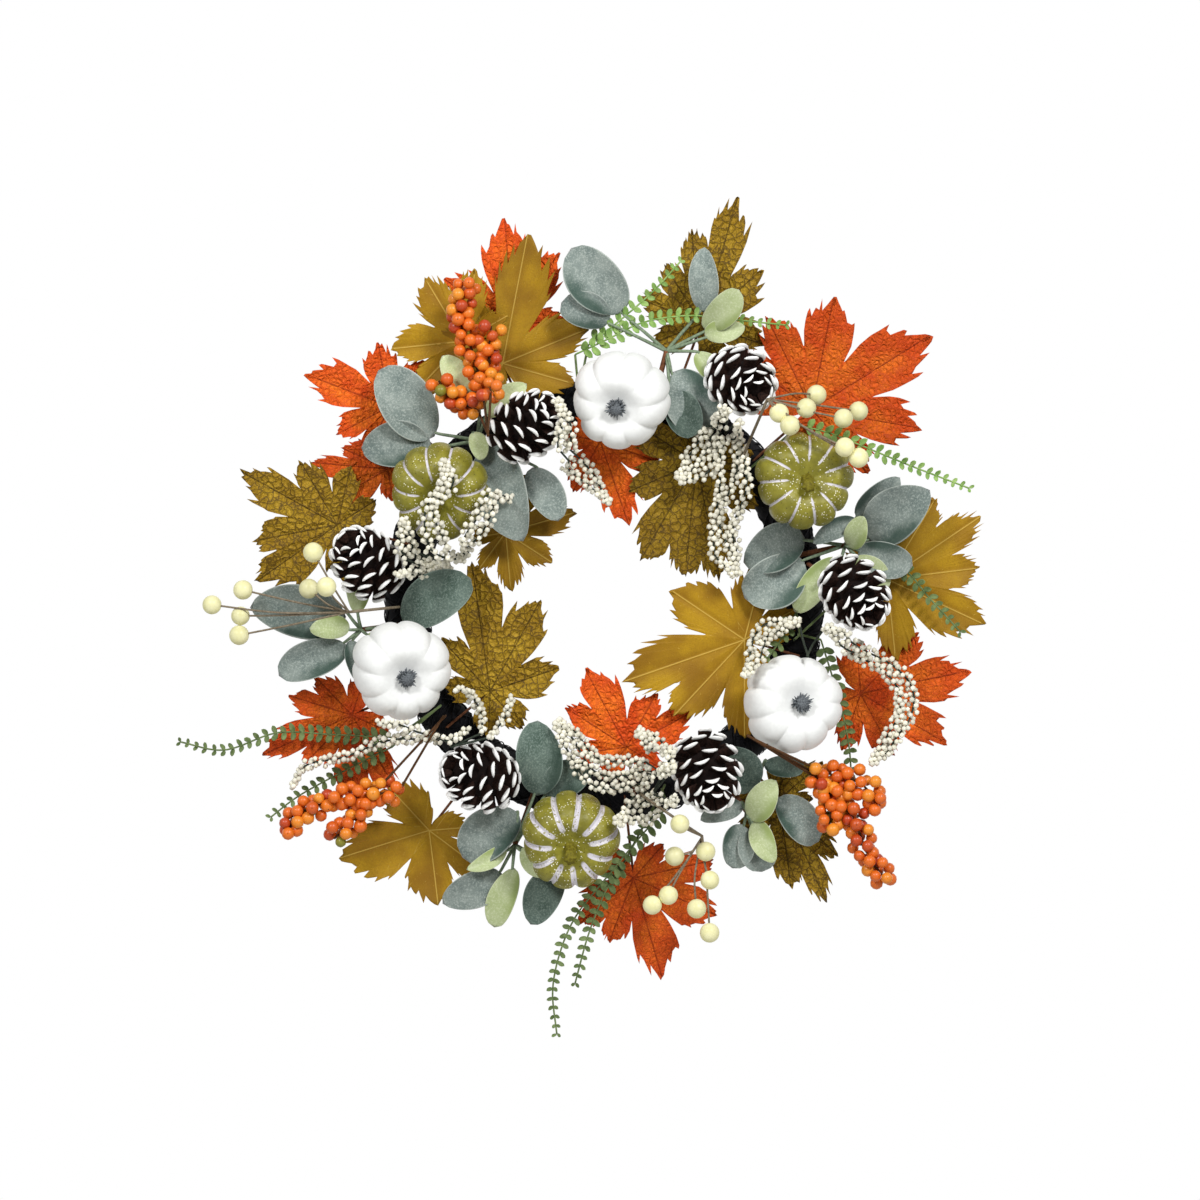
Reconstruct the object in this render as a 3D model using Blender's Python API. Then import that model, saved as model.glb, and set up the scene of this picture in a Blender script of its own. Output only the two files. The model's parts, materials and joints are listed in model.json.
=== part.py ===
"""Harvest door wreath: a fibre-wrapped ring carrying foam pumpkins, pine cones, pressed fabric
leaves, lamb's-ear sprays, fern fronds and three kinds of berry spray, each on its own wire pick.

The wreath hangs in the XZ plane and faces -Y. The origin is the hook seat, the highest point of
the ring's inner side. Places round the ring are written as (angle in degrees from +X towards +Z,
distance from the ring's centre in millimetres on a 300 mm ring) and depth in millimetres in front
of the ring's own plane.
"""
import math

import bmesh
import bpy
from mathutils import Vector

MM = 0.001

# Ring form
RING_RADIUS = 150.0
RING_TUBE_RADIUS = 17.0
HOOP_RADIUS = 3.2
HOOP_CLEARANCE = 0.4
RING_SEGMENTS = 28
RING_SIDES = 8
SEAM_ANGLE = -90.0
SEAM_HALF_ANGLE = 0.2
LAYOUT_RING_RADIUS = 150.0

# Picks: the wire stems that hold everything
STEM_SIDES = 6
STALK_RADIUS = 1.2
STEM_RADIUS = 0.8
STALK_FOOT_DEPTH = 8.5
SOCKET_SIDES = 4
SOCKET_RADIUS = 2.15
SOCKET_FLOOR_GAP = 0.5
FLAT_ANGLE = 0.3
TWIG_SIDES = 4
PASSING_CLEARANCE = 0.2
FORK_DROP = 0.35
FORK_STEP = 0.23
TWIG_FORK_STEP = 0.3
LEAD_STEP = 8.0
LEAD_MARGIN = 3.0
RISE_PER_PLACE = 2.0

# Depth of the flat layers that keep the leaves apart
FIRST_LAYER_GAP = 2.5
LAYER_PITCH = 1.9
LAMBS_EAR_LAYER = 6
BODY_STEM_GAP = 2.3
BODY_BACK_GAP = 2.9
BODY_STEM_GRIP = 10.0

# Leaves
LEAF_THICKNESS = 0.8
LEAF_SCALE = 1.0
LEAF_VEIN_SHARE = 0.5
LEAF_SHOULDER_SHARE = 0.42
LEAF_SHOULDER_ANGLE = 48.0
LEAF_STEM_NOTCH_SHARE = 0.07
LEAF_END_LOBE_ANGLE = 70.0
LEAF_TOOTH_SPREAD = 0.3
LEAF_TOOTH_FALL = 0.04
LAMBS_EAR_SCALE = 1.0
LAMBS_EAR_THICKNESS = 1.3
FERN_THICKNESS = 0.9
FERN_SPINE_HALF_WIDTH = 1.0
FERN_LEAFLET_PITCH = 21.0
FERN_LEAFLET_REACH = 13.0
FERN_LEAFLET_WIDTH = 14.0

# Pumpkins and cones
PUMPKIN_HEIGHT = 56.0
PUMPKIN_LOBES = 10
PUMPKIN_GROOVE = 0.9
PUMPKIN_STEM_HEIGHT = 11.0
PUMPKIN_STEM_POINTS = 14
PUMPKIN_STEM_FLUTE = 0.72
PUMPKIN_KNOB_SIDES = 7
PUMPKIN_KNOB_ROOT = 3.0
SEAT_GAP = 0.3
CONE_LENGTH = 54.0
CONE_POINTS = 6
CONE_GAP_SHARE = 0.8

# Berries
SMALL_CLUSTER_RADIUS = 5.0
SMALL_CLUSTER_WAIST = 3.0
SMALL_CLUSTER_SIDES = 5
SMALL_CLUSTER_STEP = 12.0
SMALL_SPRAY_GAP = 11.1
SMALL_STRAND_MARGIN = 8.0
ORANGE_BERRY_RADIUS = 5.0
ORANGE_TWIG_MARGIN = 9.0
ORANGE_BERRY_OFFSET = 0.75
ORANGE_BERRY_STEP = 17.0
ORANGE_SPRAY_GAP = 25.1
CREAM_BERRY_RADIUS = 7.5
CREAM_WIRE_RADIUS = 0.7
CREAM_WIRE_STEP = 36.0
CREAM_TRUNK_STEP = 10.0
CREAM_WIRE_MARGIN = 4.0
CREAM_BERRY_LIFT = 3.0
CREAM_BERRY_MARGIN = 9.5
CREAM_SPRAY_GAP = 29.1
KNOT_RADIUS = 3.2
DRAPE_LEAD = 7.0

# leaf: name, outline family, layer, stalk (angle, radius), vein centre (angle, radius),
# lobes [(heading, length)]
LEAVES = [
    ("orange_maple_leaf_top", "maple", 0, (108, 150), (108.5, 218),
     [(-175, 45), (8, 40), (58, 66), (94, 82), (145, 63)]),
    ("orange_maple_leaf_upper_left", "maple", 1, (138, 150), (137.9, 218),
     [(-152, 46), (-116, 39), (51, 44), (100, 49), (159, 68)]),
    ("orange_maple_leaf_left", "maple", 0, (149, 150), (148.8, 191),
     [(-150, 48), (91, 36), (155, 38), (175, 58)]),
    ("orange_maple_leaf_centre", "maple", 0, (91, 150), (91.4, 120),
     [(-118, 44), (-71, 68), (-20, 48), (21, 42), (169, 31)]),
    ("orange_maple_leaf_upper_right", "maple", 0, (43, 156), (42.6, 213),
     [(-49, 65), (-10, 83), (32, 105), (79, 86), (116, 77), (144, 66)]),
    ("orange_maple_leaf_right", "maple", 0, (-20, 150), (-20, 206),
     [(-62, 53), (-30, 75), (12, 84), (46, 64), (94, 41)]),
    ("orange_maple_leaf_bottom", "maple", 0, (-84, 150), (-83.9, 211),
     [(-140, 53), (-111, 52), (-74, 78), (-24, 69), (13, 62)]),
    ("orange_maple_leaf_lower_centre", "maple", 1, (-81, 150), (-81.2, 112),
     [(28, 58), (61, 46), (118, 67), (147, 55)]),
    ("orange_maple_leaf_lower_left", "maple", 1, (-155, 150), (-155.5, 209),
     [(-156, 74), (-134, 51), (-89, 68), (-59, 65), (134, 40), (163, 50)]),
    ("gold_embossed_leaf_top", "maple", 1, (71, 150), (70.6, 221),
     [(42, 61), (74, 100), (96, 72), (122, 53)]),
    ("gold_embossed_leaf_left", "maple", 2, (164, 156), (164.2, 209),
     [(-169, 64), (-145, 74), (-81, 43), (120, 55), (151, 83)]),
    ("gold_embossed_leaf_centre", "maple", 2, (56, 150), (56, 125),
     [(-157, 56), (-120, 86), (-96, 85), (-79, 90)]),
    ("gold_embossed_leaf_lower_left", "maple", 2, (-141, 150), (-141.3, 110),
     [(-49, 38), (19, 55), (61, 79), (98, 99), (133, 54)]),
    ("gold_embossed_leaf_lower_right", "maple", 0, (-49, 150), (-48.7, 200),
     [(-82, 68), (-65, 86), (-44, 62), (0, 26)]),
    ("gold_smooth_leaf_upper_left", "grape", 3, (119, 150), (118.6, 222),
     [(-174, 54), (-133, 51), (80, 55), (121, 56)]),
    ("gold_smooth_leaf_top", "grape", 2, (113, 150), (113.2, 194),
     [(-16, 56), (22, 70), (79, 99), (117, 52)]),
    ("gold_smooth_leaf_centre", "grape", 1, (144, 150), (145.5, 90),
     [(-85, 44), (-33, 42), (16, 55), (64, 52)]),
    ("gold_smooth_leaf_lower_centre", "grape", 3, (-16, 150), (-15.8, 110),
     [(-161, 98), (-133, 79), (-90, 74), (146, 67)]),
    ("gold_smooth_leaf_right", "grape", 2, (4, 150), (4.2, 214),
     [(-84, 61), (-25, 81), (7, 70), (34, 85), (59, 70)]),
    ("gold_smooth_leaf_bottom", "grape", 2, (-127, 150), (-127.2, 218),
     [(-163, 71), (-83, 57), (-37, 56), (133, 46)]),
]

# lamb's-ear spray: name, stalk, hub where its twigs part, leaves [(base, heading, length, width, lift)]
LAMBS_EAR = [
    ("lambs_ear_spray_upper_left", (128, 150), (128.4, 153), [
        ((135, 177), 136, 65, 40, 10),
        ((138.7, 172), 178, 53, 34, 5),
        ((128.6, 147), -64, 78, 40, 8),
        ((117.2, 113), -70, 46, 26, 14),
        ((123.3, 170), 127, 50, 26, 12),
        ((122.7, 164), 38, 39, 20, 1),
        ((128, 160), -70, 25, 16, 25),
    ]),
    ("lambs_ear_spray_top", (76, 150), (75.9, 193), [
        ((86.4, 216), 127, 62, 39, 8),
        ((89, 208), 156, 40, 27, 16),
        ((71.6, 228), 83, 49, 22, 12),
        ((69.3, 216), 52, 42, 26, 25),
        ((68.9, 211), 18, 32, 20, 18),
        ((69.4, 199), -57, 31, 20, 1),
        ((73.4, 178), -54, 52, 38, 6),
        ((72.2, 162), -54, 38, 27, 16),
    ]),
    ("lambs_ear_spray_right", (13, 150), (12.8, 186), [
        ((18, 199), 42, 45, 24, 8),
        ((12.8, 203), 39, 61, 38, 16),
        ((11.1, 194), -15, 43, 26, 8),
        ((17.5, 200), -152, 41, 15, 20),
        ((16.5, 158), -163, 50, 34, 7),
        ((11.3, 153), -147, 53, 38, 3),
        ((12.3, 187), 59, 29, 20, 30),
        ((9.9, 192), -45, 34, 21, 2),
        ((9.6, 180), -134, 52, 24, 1),
    ]),
    ("lambs_ear_spray_left", (-173, 150), (-173, 184), [
        ((-177.3, 194), 180, 72, 39, 6),
        ((-170.8, 197), -150, 56, 28, 10),
        ((-171, 191), -81, 36, 16, 16),
        ((-173.2, 152), 34, 62, 36, 8),
        ((-176.7, 185), 94, 50, 23, 0),
        ((-173.3, 192), 176, 33, 20, 28),
        ((-171.8, 180), -36, 28, 20, 0),
    ]),
    ("lambs_ear_spray_bottom", (-110, 150), (-110, 196), [
        ((-109.7, 156), 85, 57, 34, 8),
        ((-106.8, 153), 34, 41, 27, 14),
        ((-112.1, 172), -140, 54, 36, 8),
        ((-110.9, 218), -149, 50, 27, 10),
        ((-99.3, 204), -118, 48, 27, 10),
        ((-111, 201), -158, 36, 15, 22),
        ((-108.6, 198), -39, 29, 18, 22),
        ((-108.9, 212), -105, 47, 24, 5),
    ]),
    ("lambs_ear_spray_lower_right", (-56, 150), (-56, 192), [
        ((-52.4, 182), 124, 40, 32, 8),
        ((-45.2, 171), -14, 31, 16, 12),
        ((-49.3, 198), -42, 45, 27, 10),
        ((-55.7, 184), -155, 36, 16, 20),
        ((-58.1, 199), -108, 34, 24, 10),
        ((-57, 204), -80, 34, 27, 5),
        ((-56.6, 196), 51, 38, 26, 22),
        ((-56.3, 200), -58, 36, 21, 18),
    ]),
]

# fern pick: name, layer, stalk, fronds [[places along the frond]]
FERNS = [
    ("fern_pick_top", 4, (97, 156), [
        [(96.7, 186), (88.7, 197), (81.8, 211), (73.2, 223), (64.9, 232), (56.5, 247)],
        [(93.6, 192), (86.3, 212), (80.7, 236), (77.3, 260)],
    ]),
    ("fern_pick_upper_right", 3, (42, 150), [
        [(41.8, 197), (36.6, 211), (31.9, 223), (23.8, 251), (17, 287)],
    ]),
    ("fern_pick_left", 4, (-147, 150), [
        [(-146.6, 188), (-153.8, 229), (-157.9, 265), (-158.4, 306), (-161.5, 335)],
        [(-145.3, 195), (-146.5, 228), (-147.3, 271), (-146.9, 298)],
    ]),
    ("fern_pick_bottom", 4, (-73, 150), [
        [(-72.7, 162), (-81.9, 182), (-90, 211), (-94.9, 237), (-97, 264), (-97.5, 295), (-96.2, 327)],
        [(-85.4, 197), (-89.6, 218), (-92.7, 252), (-94.3, 288)],
    ]),
    ("fern_pick_right", 4, (-10, 150), [
        [(-10.4, 166), (-23, 192), (-31.4, 216), (-38.9, 239), (-43.8, 263)],
        [(8.2, 209), (5.5, 228), (0.4, 244), (-5.1, 268)],
        [(-3.6, 145), (-10.9, 138), (-19.5, 130)],
    ]),
]

# small berry spray: name, stalk, strands [[places along the strand]]
SMALL = [
    ("small_white_berry_spray_left", (166, 142), [
        [(164.3, 111), (161.5, 130), (152.4, 146), (143.6, 142), (139.1, 157)],
        [(164.3, 111), (148.8, 109), (138.7, 114), (132.6, 102)],
        [(168, 119), (169, 136), (165, 149), (158, 160)],
        [(166.8, 119), (171.1, 136), (173, 154)],
    ]),
    ("small_white_berry_spray_upper", (101.5, 148), [
        [(103.5, 152), (101.5, 132), (104, 113), (98, 91), (86.5, 73)],
    ]),
    ("small_white_berry_spray_right", (54, 156), [
        [(57.5, 168), (56.9, 142), (55.8, 120), (58.6, 106)],
        [(53.1, 165), (43.2, 132), (34.1, 107), (22, 100), (10.8, 100)],
    ]),
    ("small_white_berry_spray_lower_left", (-136, 156), [
        [(-136.3, 139), (-138.5, 156), (-147, 174), (-151.4, 191)],
        [(-141, 163), (-145.2, 186), (-149.1, 222), (-150.7, 253), (-148.9, 272)],
        [(-132.6, 134), (-139.7, 123), (-145.7, 121), (-149.3, 128)],
        [(-129.7, 132), (-131.5, 112), (-133.5, 100)],
    ]),
    ("small_white_berry_spray_bottom", (-76, 150), [
        [(-67, 133), (-78.4, 134), (-91.3, 128), (-101.3, 111), (-111.5, 98)],
        [(-66, 124), (-70.9, 113), (-75.6, 101)],
        [(-70.5, 158), (-80.8, 158), (-86.7, 164)],
    ]),
    ("small_white_berry_spray_lower_right", (-15, 156), [
        [(-7, 165), (-9.2, 180), (-11.1, 194), (-13.3, 213), (-17, 236), (-21.3, 243), (-25, 239),
         (-31.4, 233)],
        [(-6, 147), (-7, 138), (-11.2, 124), (-19.7, 121), (-28.3, 118)],
    ]),
]

# orange berry spray: name, stalk, twigs [[places along the twig]]
ORANGE = [
    ("orange_berry_spray_upper_left", (125, 150), [
        [(121, 173), (117.8, 212), (117.1, 240), (113, 257)],
        [(119, 173), (115, 203), (112.4, 221)],
        [(123.6, 171), (127.2, 188), (127, 205)],
    ]),
    ("orange_berry_spray_lower_left", (-143.5, 152), [
        [(-137, 209), (-140.3, 228), (-143.4, 251), (-145.1, 278), (-143.5, 293)],
        [(-139.8, 230), (-138.6, 252), (-138.5, 269)],
    ]),
    ("orange_berry_spray_right", (-43, 150), [
        [(-39.5, 202), (-40.5, 222), (-45.6, 240)],
        [(-38, 210), (-35.5, 234), (-36.8, 257)],
        [(-39.5, 218), (-41.5, 250), (-44.2, 276), (-44.8, 298)],
    ]),
]

# cream berry spray: name, stalk, crown where its wires part, berries [places]
CREAM = [
    ("cream_berry_spray_left", (-178, 156), (-177.3, 189),
     [(170.7, 218), (177.8, 220), (177.3, 205), (178.4, 269), (-179.3, 292), (-174.5, 273), (-177.5, 271)]),
    ("cream_berry_spray_upper_right", (46, 150), (50.9, 191),
     [(44, 220), (43.5, 206), (46.9, 189), (43.2, 188), (37.2, 222), (36.6, 236), (32.4, 210), (29.2, 215)]),
    ("cream_berry_spray_bottom", (-78.5, 150), (-67.4, 191),
     [(-71.3, 175), (-74.6, 198), (-68, 202), (-69.3, 223), (-77.7, 225), (-81, 230), (-73.3, 240),
      (-72.4, 260)]),
]

# round body: name, kind, stalk (angle, radius), centre (angle, radius), body radius
BODIES = [
    ("white_pumpkin_top", "white_pumpkin", (85, 150), (85.1, 150), 36.5),
    ("white_pumpkin_left", "white_pumpkin", (-161, 156), (-161.1, 160), 37),
    ("white_pumpkin_right", "white_pumpkin", (-29, 156), (-28.8, 160), 37),
    ("green_pumpkin_upper_left", "green_pumpkin", (146, 144), (146.5, 147), 36.5),
    ("green_pumpkin_upper_right", "green_pumpkin", (31, 156), (30.9, 174), 36.5),
    ("green_pumpkin_bottom", "green_pumpkin", (-98, 156), (-97.9, 180), 36.5),
    ("pine_cone_upper_left", "pine_cone", (114, 144), (114, 142), 26),
    ("pine_cone_upper_right", "pine_cone", (57, 156), (58, 193), 26),
    ("pine_cone_left", "pine_cone", (171, 156), (171.1, 179), 26),
    ("pine_cone_lower_left", "pine_cone", (-125, 156), (-125.3, 161), 27),
    ("pine_cone_right", "pine_cone", (10, 156), (1.6, 187), 26),
    ("pine_cone_lower_right", "pine_cone", (-59, 150), (-59, 149), 27),
]

# slot: base colour (linear), roughness, metallic
MATERIALS = {
    "steel_wire": ((0.30, 0.30, 0.31), 0.45, 0.9),
    "black_fibre": ((0.008, 0.008, 0.009), 0.9, 0.0),
    "white_foam": ((0.86, 0.87, 0.85), 0.75, 0.0),
    "charcoal_stem": ((0.06, 0.07, 0.075), 0.9, 0.0),
    "olive_foam": ((0.24, 0.22, 0.03), 0.7, 0.0),
    "cone_brown": ((0.025, 0.014, 0.011), 0.85, 0.0),
    "orange_fabric": ((0.68, 0.09, 0.012), 0.6, 0.0),
    "gold_embossed_fabric": ((0.30, 0.19, 0.018), 0.55, 0.0),
    "gold_smooth_fabric": ((0.37, 0.20, 0.012), 0.45, 0.0),
    "lambs_ear_flock": ((0.16, 0.23, 0.23), 0.95, 0.0),
    "fern_plastic": ((0.15, 0.25, 0.08), 0.6, 0.0),
    "small_white_berry": ((0.75, 0.74, 0.62), 0.5, 0.0),
    "orange_berry": ((0.62, 0.14, 0.02), 0.35, 0.0),
    "cream_berry": ((0.76, 0.72, 0.46), 0.5, 0.0),
}

# depth fraction and radius fraction down a pumpkin, from the dimple round to the back
PUMPKIN_PROFILE = [(0.66, 0.20), (0.92, 0.46), (0.84, 0.80), (0.25, 1.0), (-0.45, 0.93),
                   (-0.85, 0.66), (-1.0, 0.28)]
PUMPKIN_LOBE_SHARE = [0.0, 0.6, 1.0, 1.0, 1.0, 0.6, 0.0]

# depth fraction and radius fraction along a cone, from its tip to its base; every other ring is a
# row of scale tips
CONE_PROFILE = [(1.0, 0.10), (0.93, 0.34), (0.82, 0.30), (0.76, 0.62), (0.62, 0.48), (0.56, 0.84),
                (0.42, 0.62), (0.36, 1.0), (0.22, 0.70), (0.17, 0.98), (0.06, 0.60), (0.0, 0.30)]

# height fraction and radius fraction up a pumpkin's separate stem
STAR_PROFILE = [(0.0, 1.0), (0.55, 0.7), (1.0, 1.15)]

# notch and tooth depth of each outline family, as shares of the lobe length
LEAF_FAMILIES = {"maple": (0.52, 0.74), "grape": (0.8, 0.87)}

# along and across fractions of half a lamb's-ear leaf
LAMBS_EAR_HALF = [(0.0, 0.14), (0.26, 0.92), (0.72, 0.84)]


def clear_scene():
    """Empty the file of every object, mesh, curve, material and collection."""
    for obj in list(bpy.data.objects):
        bpy.data.objects.remove(obj, do_unlink=True)
    for group in (bpy.data.meshes, bpy.data.curves, bpy.data.materials, bpy.data.collections):
        for block in list(group):
            group.remove(block)


def ring_point(angle, reach, depth):
    """A place in front of the ring, in millimetres from the hook seat."""
    distance = reach * RING_RADIUS / LAYOUT_RING_RADIUS
    turn = math.radians(angle)
    lift = RING_TUBE_RADIUS - RING_RADIUS
    return Vector((distance * math.cos(turn), -depth, distance * math.sin(turn) + lift))


def layer_depth(layer):
    """Depth of the middle of one flat leaf layer."""
    return RING_TUBE_RADIUS + FIRST_LAYER_GAP + layer * LAYER_PITCH


def spray_depth(gap):
    """Depth of a berry spray that floats a gap in front of the lamb's-ear leaves."""
    return layer_depth(LAMBS_EAR_LAYER) + gap


def heading(angle, lift=0.0):
    """Unit direction across the wreath, tipped forward by lift degrees."""
    turn = math.radians(angle)
    rise = math.radians(lift)
    return Vector((math.cos(turn) * math.cos(rise), -math.sin(rise), math.sin(turn) * math.cos(rise)))


def mesh_object(name, mesh_data, collection):
    """Wrap a bmesh in an object, in metres, with its faces turned outward."""
    bmesh.ops.recalc_face_normals(mesh_data, faces=mesh_data.faces)
    bmesh.ops.scale(mesh_data, vec=(MM, MM, MM), verts=mesh_data.verts)
    mesh = bpy.data.meshes.new(name)
    mesh_data.to_mesh(mesh)
    mesh_data.free()
    obj = bpy.data.objects.new(name, mesh)
    collection.objects.link(obj)
    return obj


def loft(name, rings, collection, closed=False):
    """Skin a run of equal point rings; the ends are capped unless the run closes on itself."""
    data = bmesh.new()
    rows = [[data.verts.new(point) for point in ring] for ring in rings]
    count = len(rows[0])
    spans = len(rows) if closed else len(rows) - 1
    for row in range(spans):
        here = rows[row]
        there = rows[(row + 1) % len(rows)]
        for side in range(count):
            step = (side + 1) % count
            data.faces.new((here[side], here[step], there[step], there[side]))
    if not closed:
        data.faces.new(list(reversed(rows[0])))
        data.faces.new(rows[-1])
    return mesh_object(name, data, collection)


def tube(name, path, radii, collection, sides=STEM_SIDES):
    """A wire of several straight runs with mitred corners."""
    rings = []
    side_way = None
    for index, point in enumerate(path):
        before = (point - path[index - 1]).normalized() if index else None
        after = (path[index + 1] - point).normalized() if index < len(path) - 1 else None
        along = (before or after) + (after or before)
        along.normalize()
        if side_way is None:
            spare = Vector((0.0, 0.0, 1.0)) if abs(along.z) < 0.9 else Vector((1.0, 0.0, 0.0))
            side_way = along.cross(spare).normalized()
        else:
            side_way = (side_way - along * side_way.dot(along)).normalized()
        other_way = along.cross(side_way)
        ring = []
        for side in range(sides):
            turn = 2.0 * math.pi * (side + 0.5) / sides
            ring.append(point + radii[index] * (side_way * math.cos(turn) + other_way * math.sin(turn)))
        rings.append(ring)
    return loft(name, rings, collection)


def plate(name, points, thickness, collection, lift_way=Vector((0.0, -1.0, 0.0))):
    """A flat plate: an outline given as a fan of points, thickened equally both ways."""
    data = bmesh.new()
    corners = [data.verts.new(point + lift_way * thickness / 2.0) for point in points]
    top = data.faces.new(corners)
    grown = bmesh.ops.extrude_face_region(data, geom=[top], use_keep_orig=True)
    moved = [item for item in grown["geom"] if isinstance(item, bmesh.types.BMVert)]
    bmesh.ops.translate(data, verts=moved, vec=-lift_way * thickness)
    return mesh_object(name, data, collection)


def ball(name, centre, radius, collection, columns=6, rows=4):
    """A low round berry."""
    data = bmesh.new()
    bmesh.ops.create_uvsphere(data, u_segments=columns, v_segments=rows, radius=radius)
    bmesh.ops.translate(data, verts=data.verts, vec=centre)
    return mesh_object(name, data, collection)


def unite(name, pieces, slot, finished, own_stalk=None):
    """Fuse the pieces of one pick into a single closed solid and file it under its name. With its own
    stalk given, it is also notched to let every other stalk pass."""
    body = pieces[0]
    rest = bpy.data.collections.new("joining")
    groups = [rest]
    for piece in pieces[1:]:
        rest.objects.link(piece)
    if own_stalk:
        groups.append(passing_stalks(pieces, own_stalk))
    if pieces[1:]:
        combine(body, "UNION", rest).use_self = True
    if len(groups) > 1 and len(groups[1].objects):
        combine(body, "DIFFERENCE", groups[1])
    return settle(name, body, groups, slot, finished)


def stalk_tops():
    """Every stalk with the depth at which it stops or turns aside."""
    tops = [(entry[3], layer_depth(entry[2])) for entry in LEAVES]
    tops += [(entry[1], layer_depth(LAMBS_EAR_LAYER)) for entry in LAMBS_EAR]
    tops += [(entry[2], layer_depth(entry[1])) for entry in FERNS]
    for group, gap in ((SMALL, SMALL_SPRAY_GAP), (ORANGE, ORANGE_SPRAY_GAP), (CREAM, CREAM_SPRAY_GAP)):
        tops += [(entry[1], spray_depth(gap)) for entry in group]
    tops += [(entry[2], layer_depth(LAMBS_EAR_LAYER) + BODY_STEM_GAP) for entry in BODIES]
    return tops


def passing_stalks(pieces, own_stalk):
    """Cutters round the stalks of other picks that stand within reach of these pieces."""
    corners = [vertex.co / MM for piece in pieces for vertex in piece.data.vertices]
    low = [min(corner[axis] for corner in corners) - SOCKET_RADIUS for axis in range(3)]
    high = [max(corner[axis] for corner in corners) + SOCKET_RADIUS for axis in range(3)]
    cutters = bpy.data.collections.new("passing stalks")
    radius = STALK_RADIUS + PASSING_CLEARANCE
    for stalk, depth in stalk_tops():
        tip = ring_point(*stalk, depth + radius)
        if stalk != own_stalk and low[0] < tip.x < high[0] and low[2] < tip.z < high[2]:
            foot = ring_point(*stalk, RING_TUBE_RADIUS)
            tube("passing", [foot, tip], [radius] * 2, cutters)
    return cutters


def combine(body, operation, group):
    """Set up an exact Boolean between a body and every object of a group."""
    modifier = body.modifiers.new("combine", "BOOLEAN")
    modifier.operation = operation
    modifier.operand_type = "COLLECTION"
    modifier.collection = group
    modifier.solver = "EXACT"
    return modifier


def settle(name, blank, groups, slot, finished):
    """Keep a blank's final shape as a finished solid and clear away what it was made from."""
    seen = blank.evaluated_get(bpy.context.evaluated_depsgraph_get())
    mesh = bpy.data.meshes.new_from_object(seen)
    for group in groups:
        for piece in list(group.objects):
            bpy.data.objects.remove(piece, do_unlink=True)
        bpy.data.collections.remove(group)
    bpy.data.objects.remove(blank, do_unlink=True)
    merge_flats(mesh)
    mesh.name = name
    solid = bpy.data.objects.new(name, mesh)
    finished.objects.link(solid)
    paint(solid, slot)
    return solid


def merge_flats(mesh):
    """Join the faces that a cut or a join has left lying in one plane."""
    data = bmesh.new()
    data.from_mesh(mesh)
    bmesh.ops.dissolve_limit(data, angle_limit=math.radians(FLAT_ANGLE), verts=data.verts, edges=data.edges)
    bmesh.ops.triangulate(data, faces=data.faces)
    data.to_mesh(mesh)
    data.free()


def paint(obj, slot):
    """Give an object the named plain material."""
    material = bpy.data.materials.get(slot)
    if material is None:
        colour, roughness, metallic = MATERIALS[slot]
        material = bpy.data.materials.new(slot)
        material.use_nodes = True
        shader = material.node_tree.nodes["Principled BSDF"]
        shader.inputs["Base Color"].default_value = (*colour, 1.0)
        shader.inputs["Roughness"].default_value = roughness
        shader.inputs["Metallic"].default_value = metallic
    obj.data.materials.clear()
    obj.data.materials.append(material)


def smooth(obj):
    """Shade a round piece smooth."""
    for polygon in obj.data.polygons:
        polygon.use_smooth = True


def around_ring(angle, radius, sides=RING_SIDES):
    """One cross-section of a tube of the given radius about the ring's centre line."""
    section = []
    for side in range(sides):
        turn = 2.0 * math.pi * side / sides
        reach = RING_RADIUS - radius * math.cos(turn)
        way = math.radians(angle)
        lift = RING_TUBE_RADIUS - RING_RADIUS
        section.append(Vector((reach * math.cos(way), radius * math.sin(turn), reach * math.sin(way) + lift)))
    return section


def ring_hoop(finished, workshop):
    """The closed steel wire hoop at the heart of the ring."""
    rings = [around_ring(360.0 * step / RING_SEGMENTS + SEAM_ANGLE, HOOP_RADIUS, STEM_SIDES)
             for step in range(RING_SEGMENTS)]
    hoop = loft("hoop_blank", rings, workshop, closed=True)
    smooth(unite("steel_hoop", [hoop], "steel_wire", finished))


def ring_wrap(finished, workshop):
    """The fibre tube wound round the hoop, open at one seam, with a socket for every pick."""
    data = bmesh.new()
    span = 360.0 - 2.0 * SEAM_HALF_ANGLE
    rows = []
    for step in range(RING_SEGMENTS + 1):
        angle = SEAM_ANGLE + SEAM_HALF_ANGLE + span * step / RING_SEGMENTS
        outer = [data.verts.new(point) for point in around_ring(angle, RING_TUBE_RADIUS)]
        inner = [data.verts.new(point) for point in around_ring(angle, HOOP_RADIUS + HOOP_CLEARANCE)]
        rows.append((outer, inner))
    for step in range(RING_SEGMENTS):
        for skin in (0, 1):
            here = rows[step][skin]
            there = rows[step + 1][skin]
            for side in range(RING_SIDES):
                turn = (side + 1) % RING_SIDES
                data.faces.new((here[side], here[turn], there[turn], there[side]))
    for outer, inner in (rows[0], rows[-1]):
        for side in range(RING_SIDES):
            turn = (side + 1) % RING_SIDES
            data.faces.new((outer[side], outer[turn], inner[turn], inner[side]))
    wrap = mesh_object("wrap_blank", data, workshop)
    cutters = bpy.data.collections.new("socket cutters")
    for stalk, depth in stalk_tops():
        bottom = ring_point(*stalk, STALK_FOOT_DEPTH - SOCKET_FLOOR_GAP)
        mouth = ring_point(*stalk, RING_TUBE_RADIUS + FIRST_LAYER_GAP)
        tube("socket", [bottom, mouth], [SOCKET_RADIUS] * 2, cutters, SOCKET_SIDES)
    combine(wrap, "DIFFERENCE", cutters)
    settle("fibre_wrapped_ring", wrap, [cutters], "black_fibre", finished)


def stalk_path(stalk, depth):
    """The two ends of a pick's stalk, from its foot in the ring up to a depth."""
    return [ring_point(*stalk, STALK_FOOT_DEPTH), ring_point(*stalk, depth)]


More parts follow.
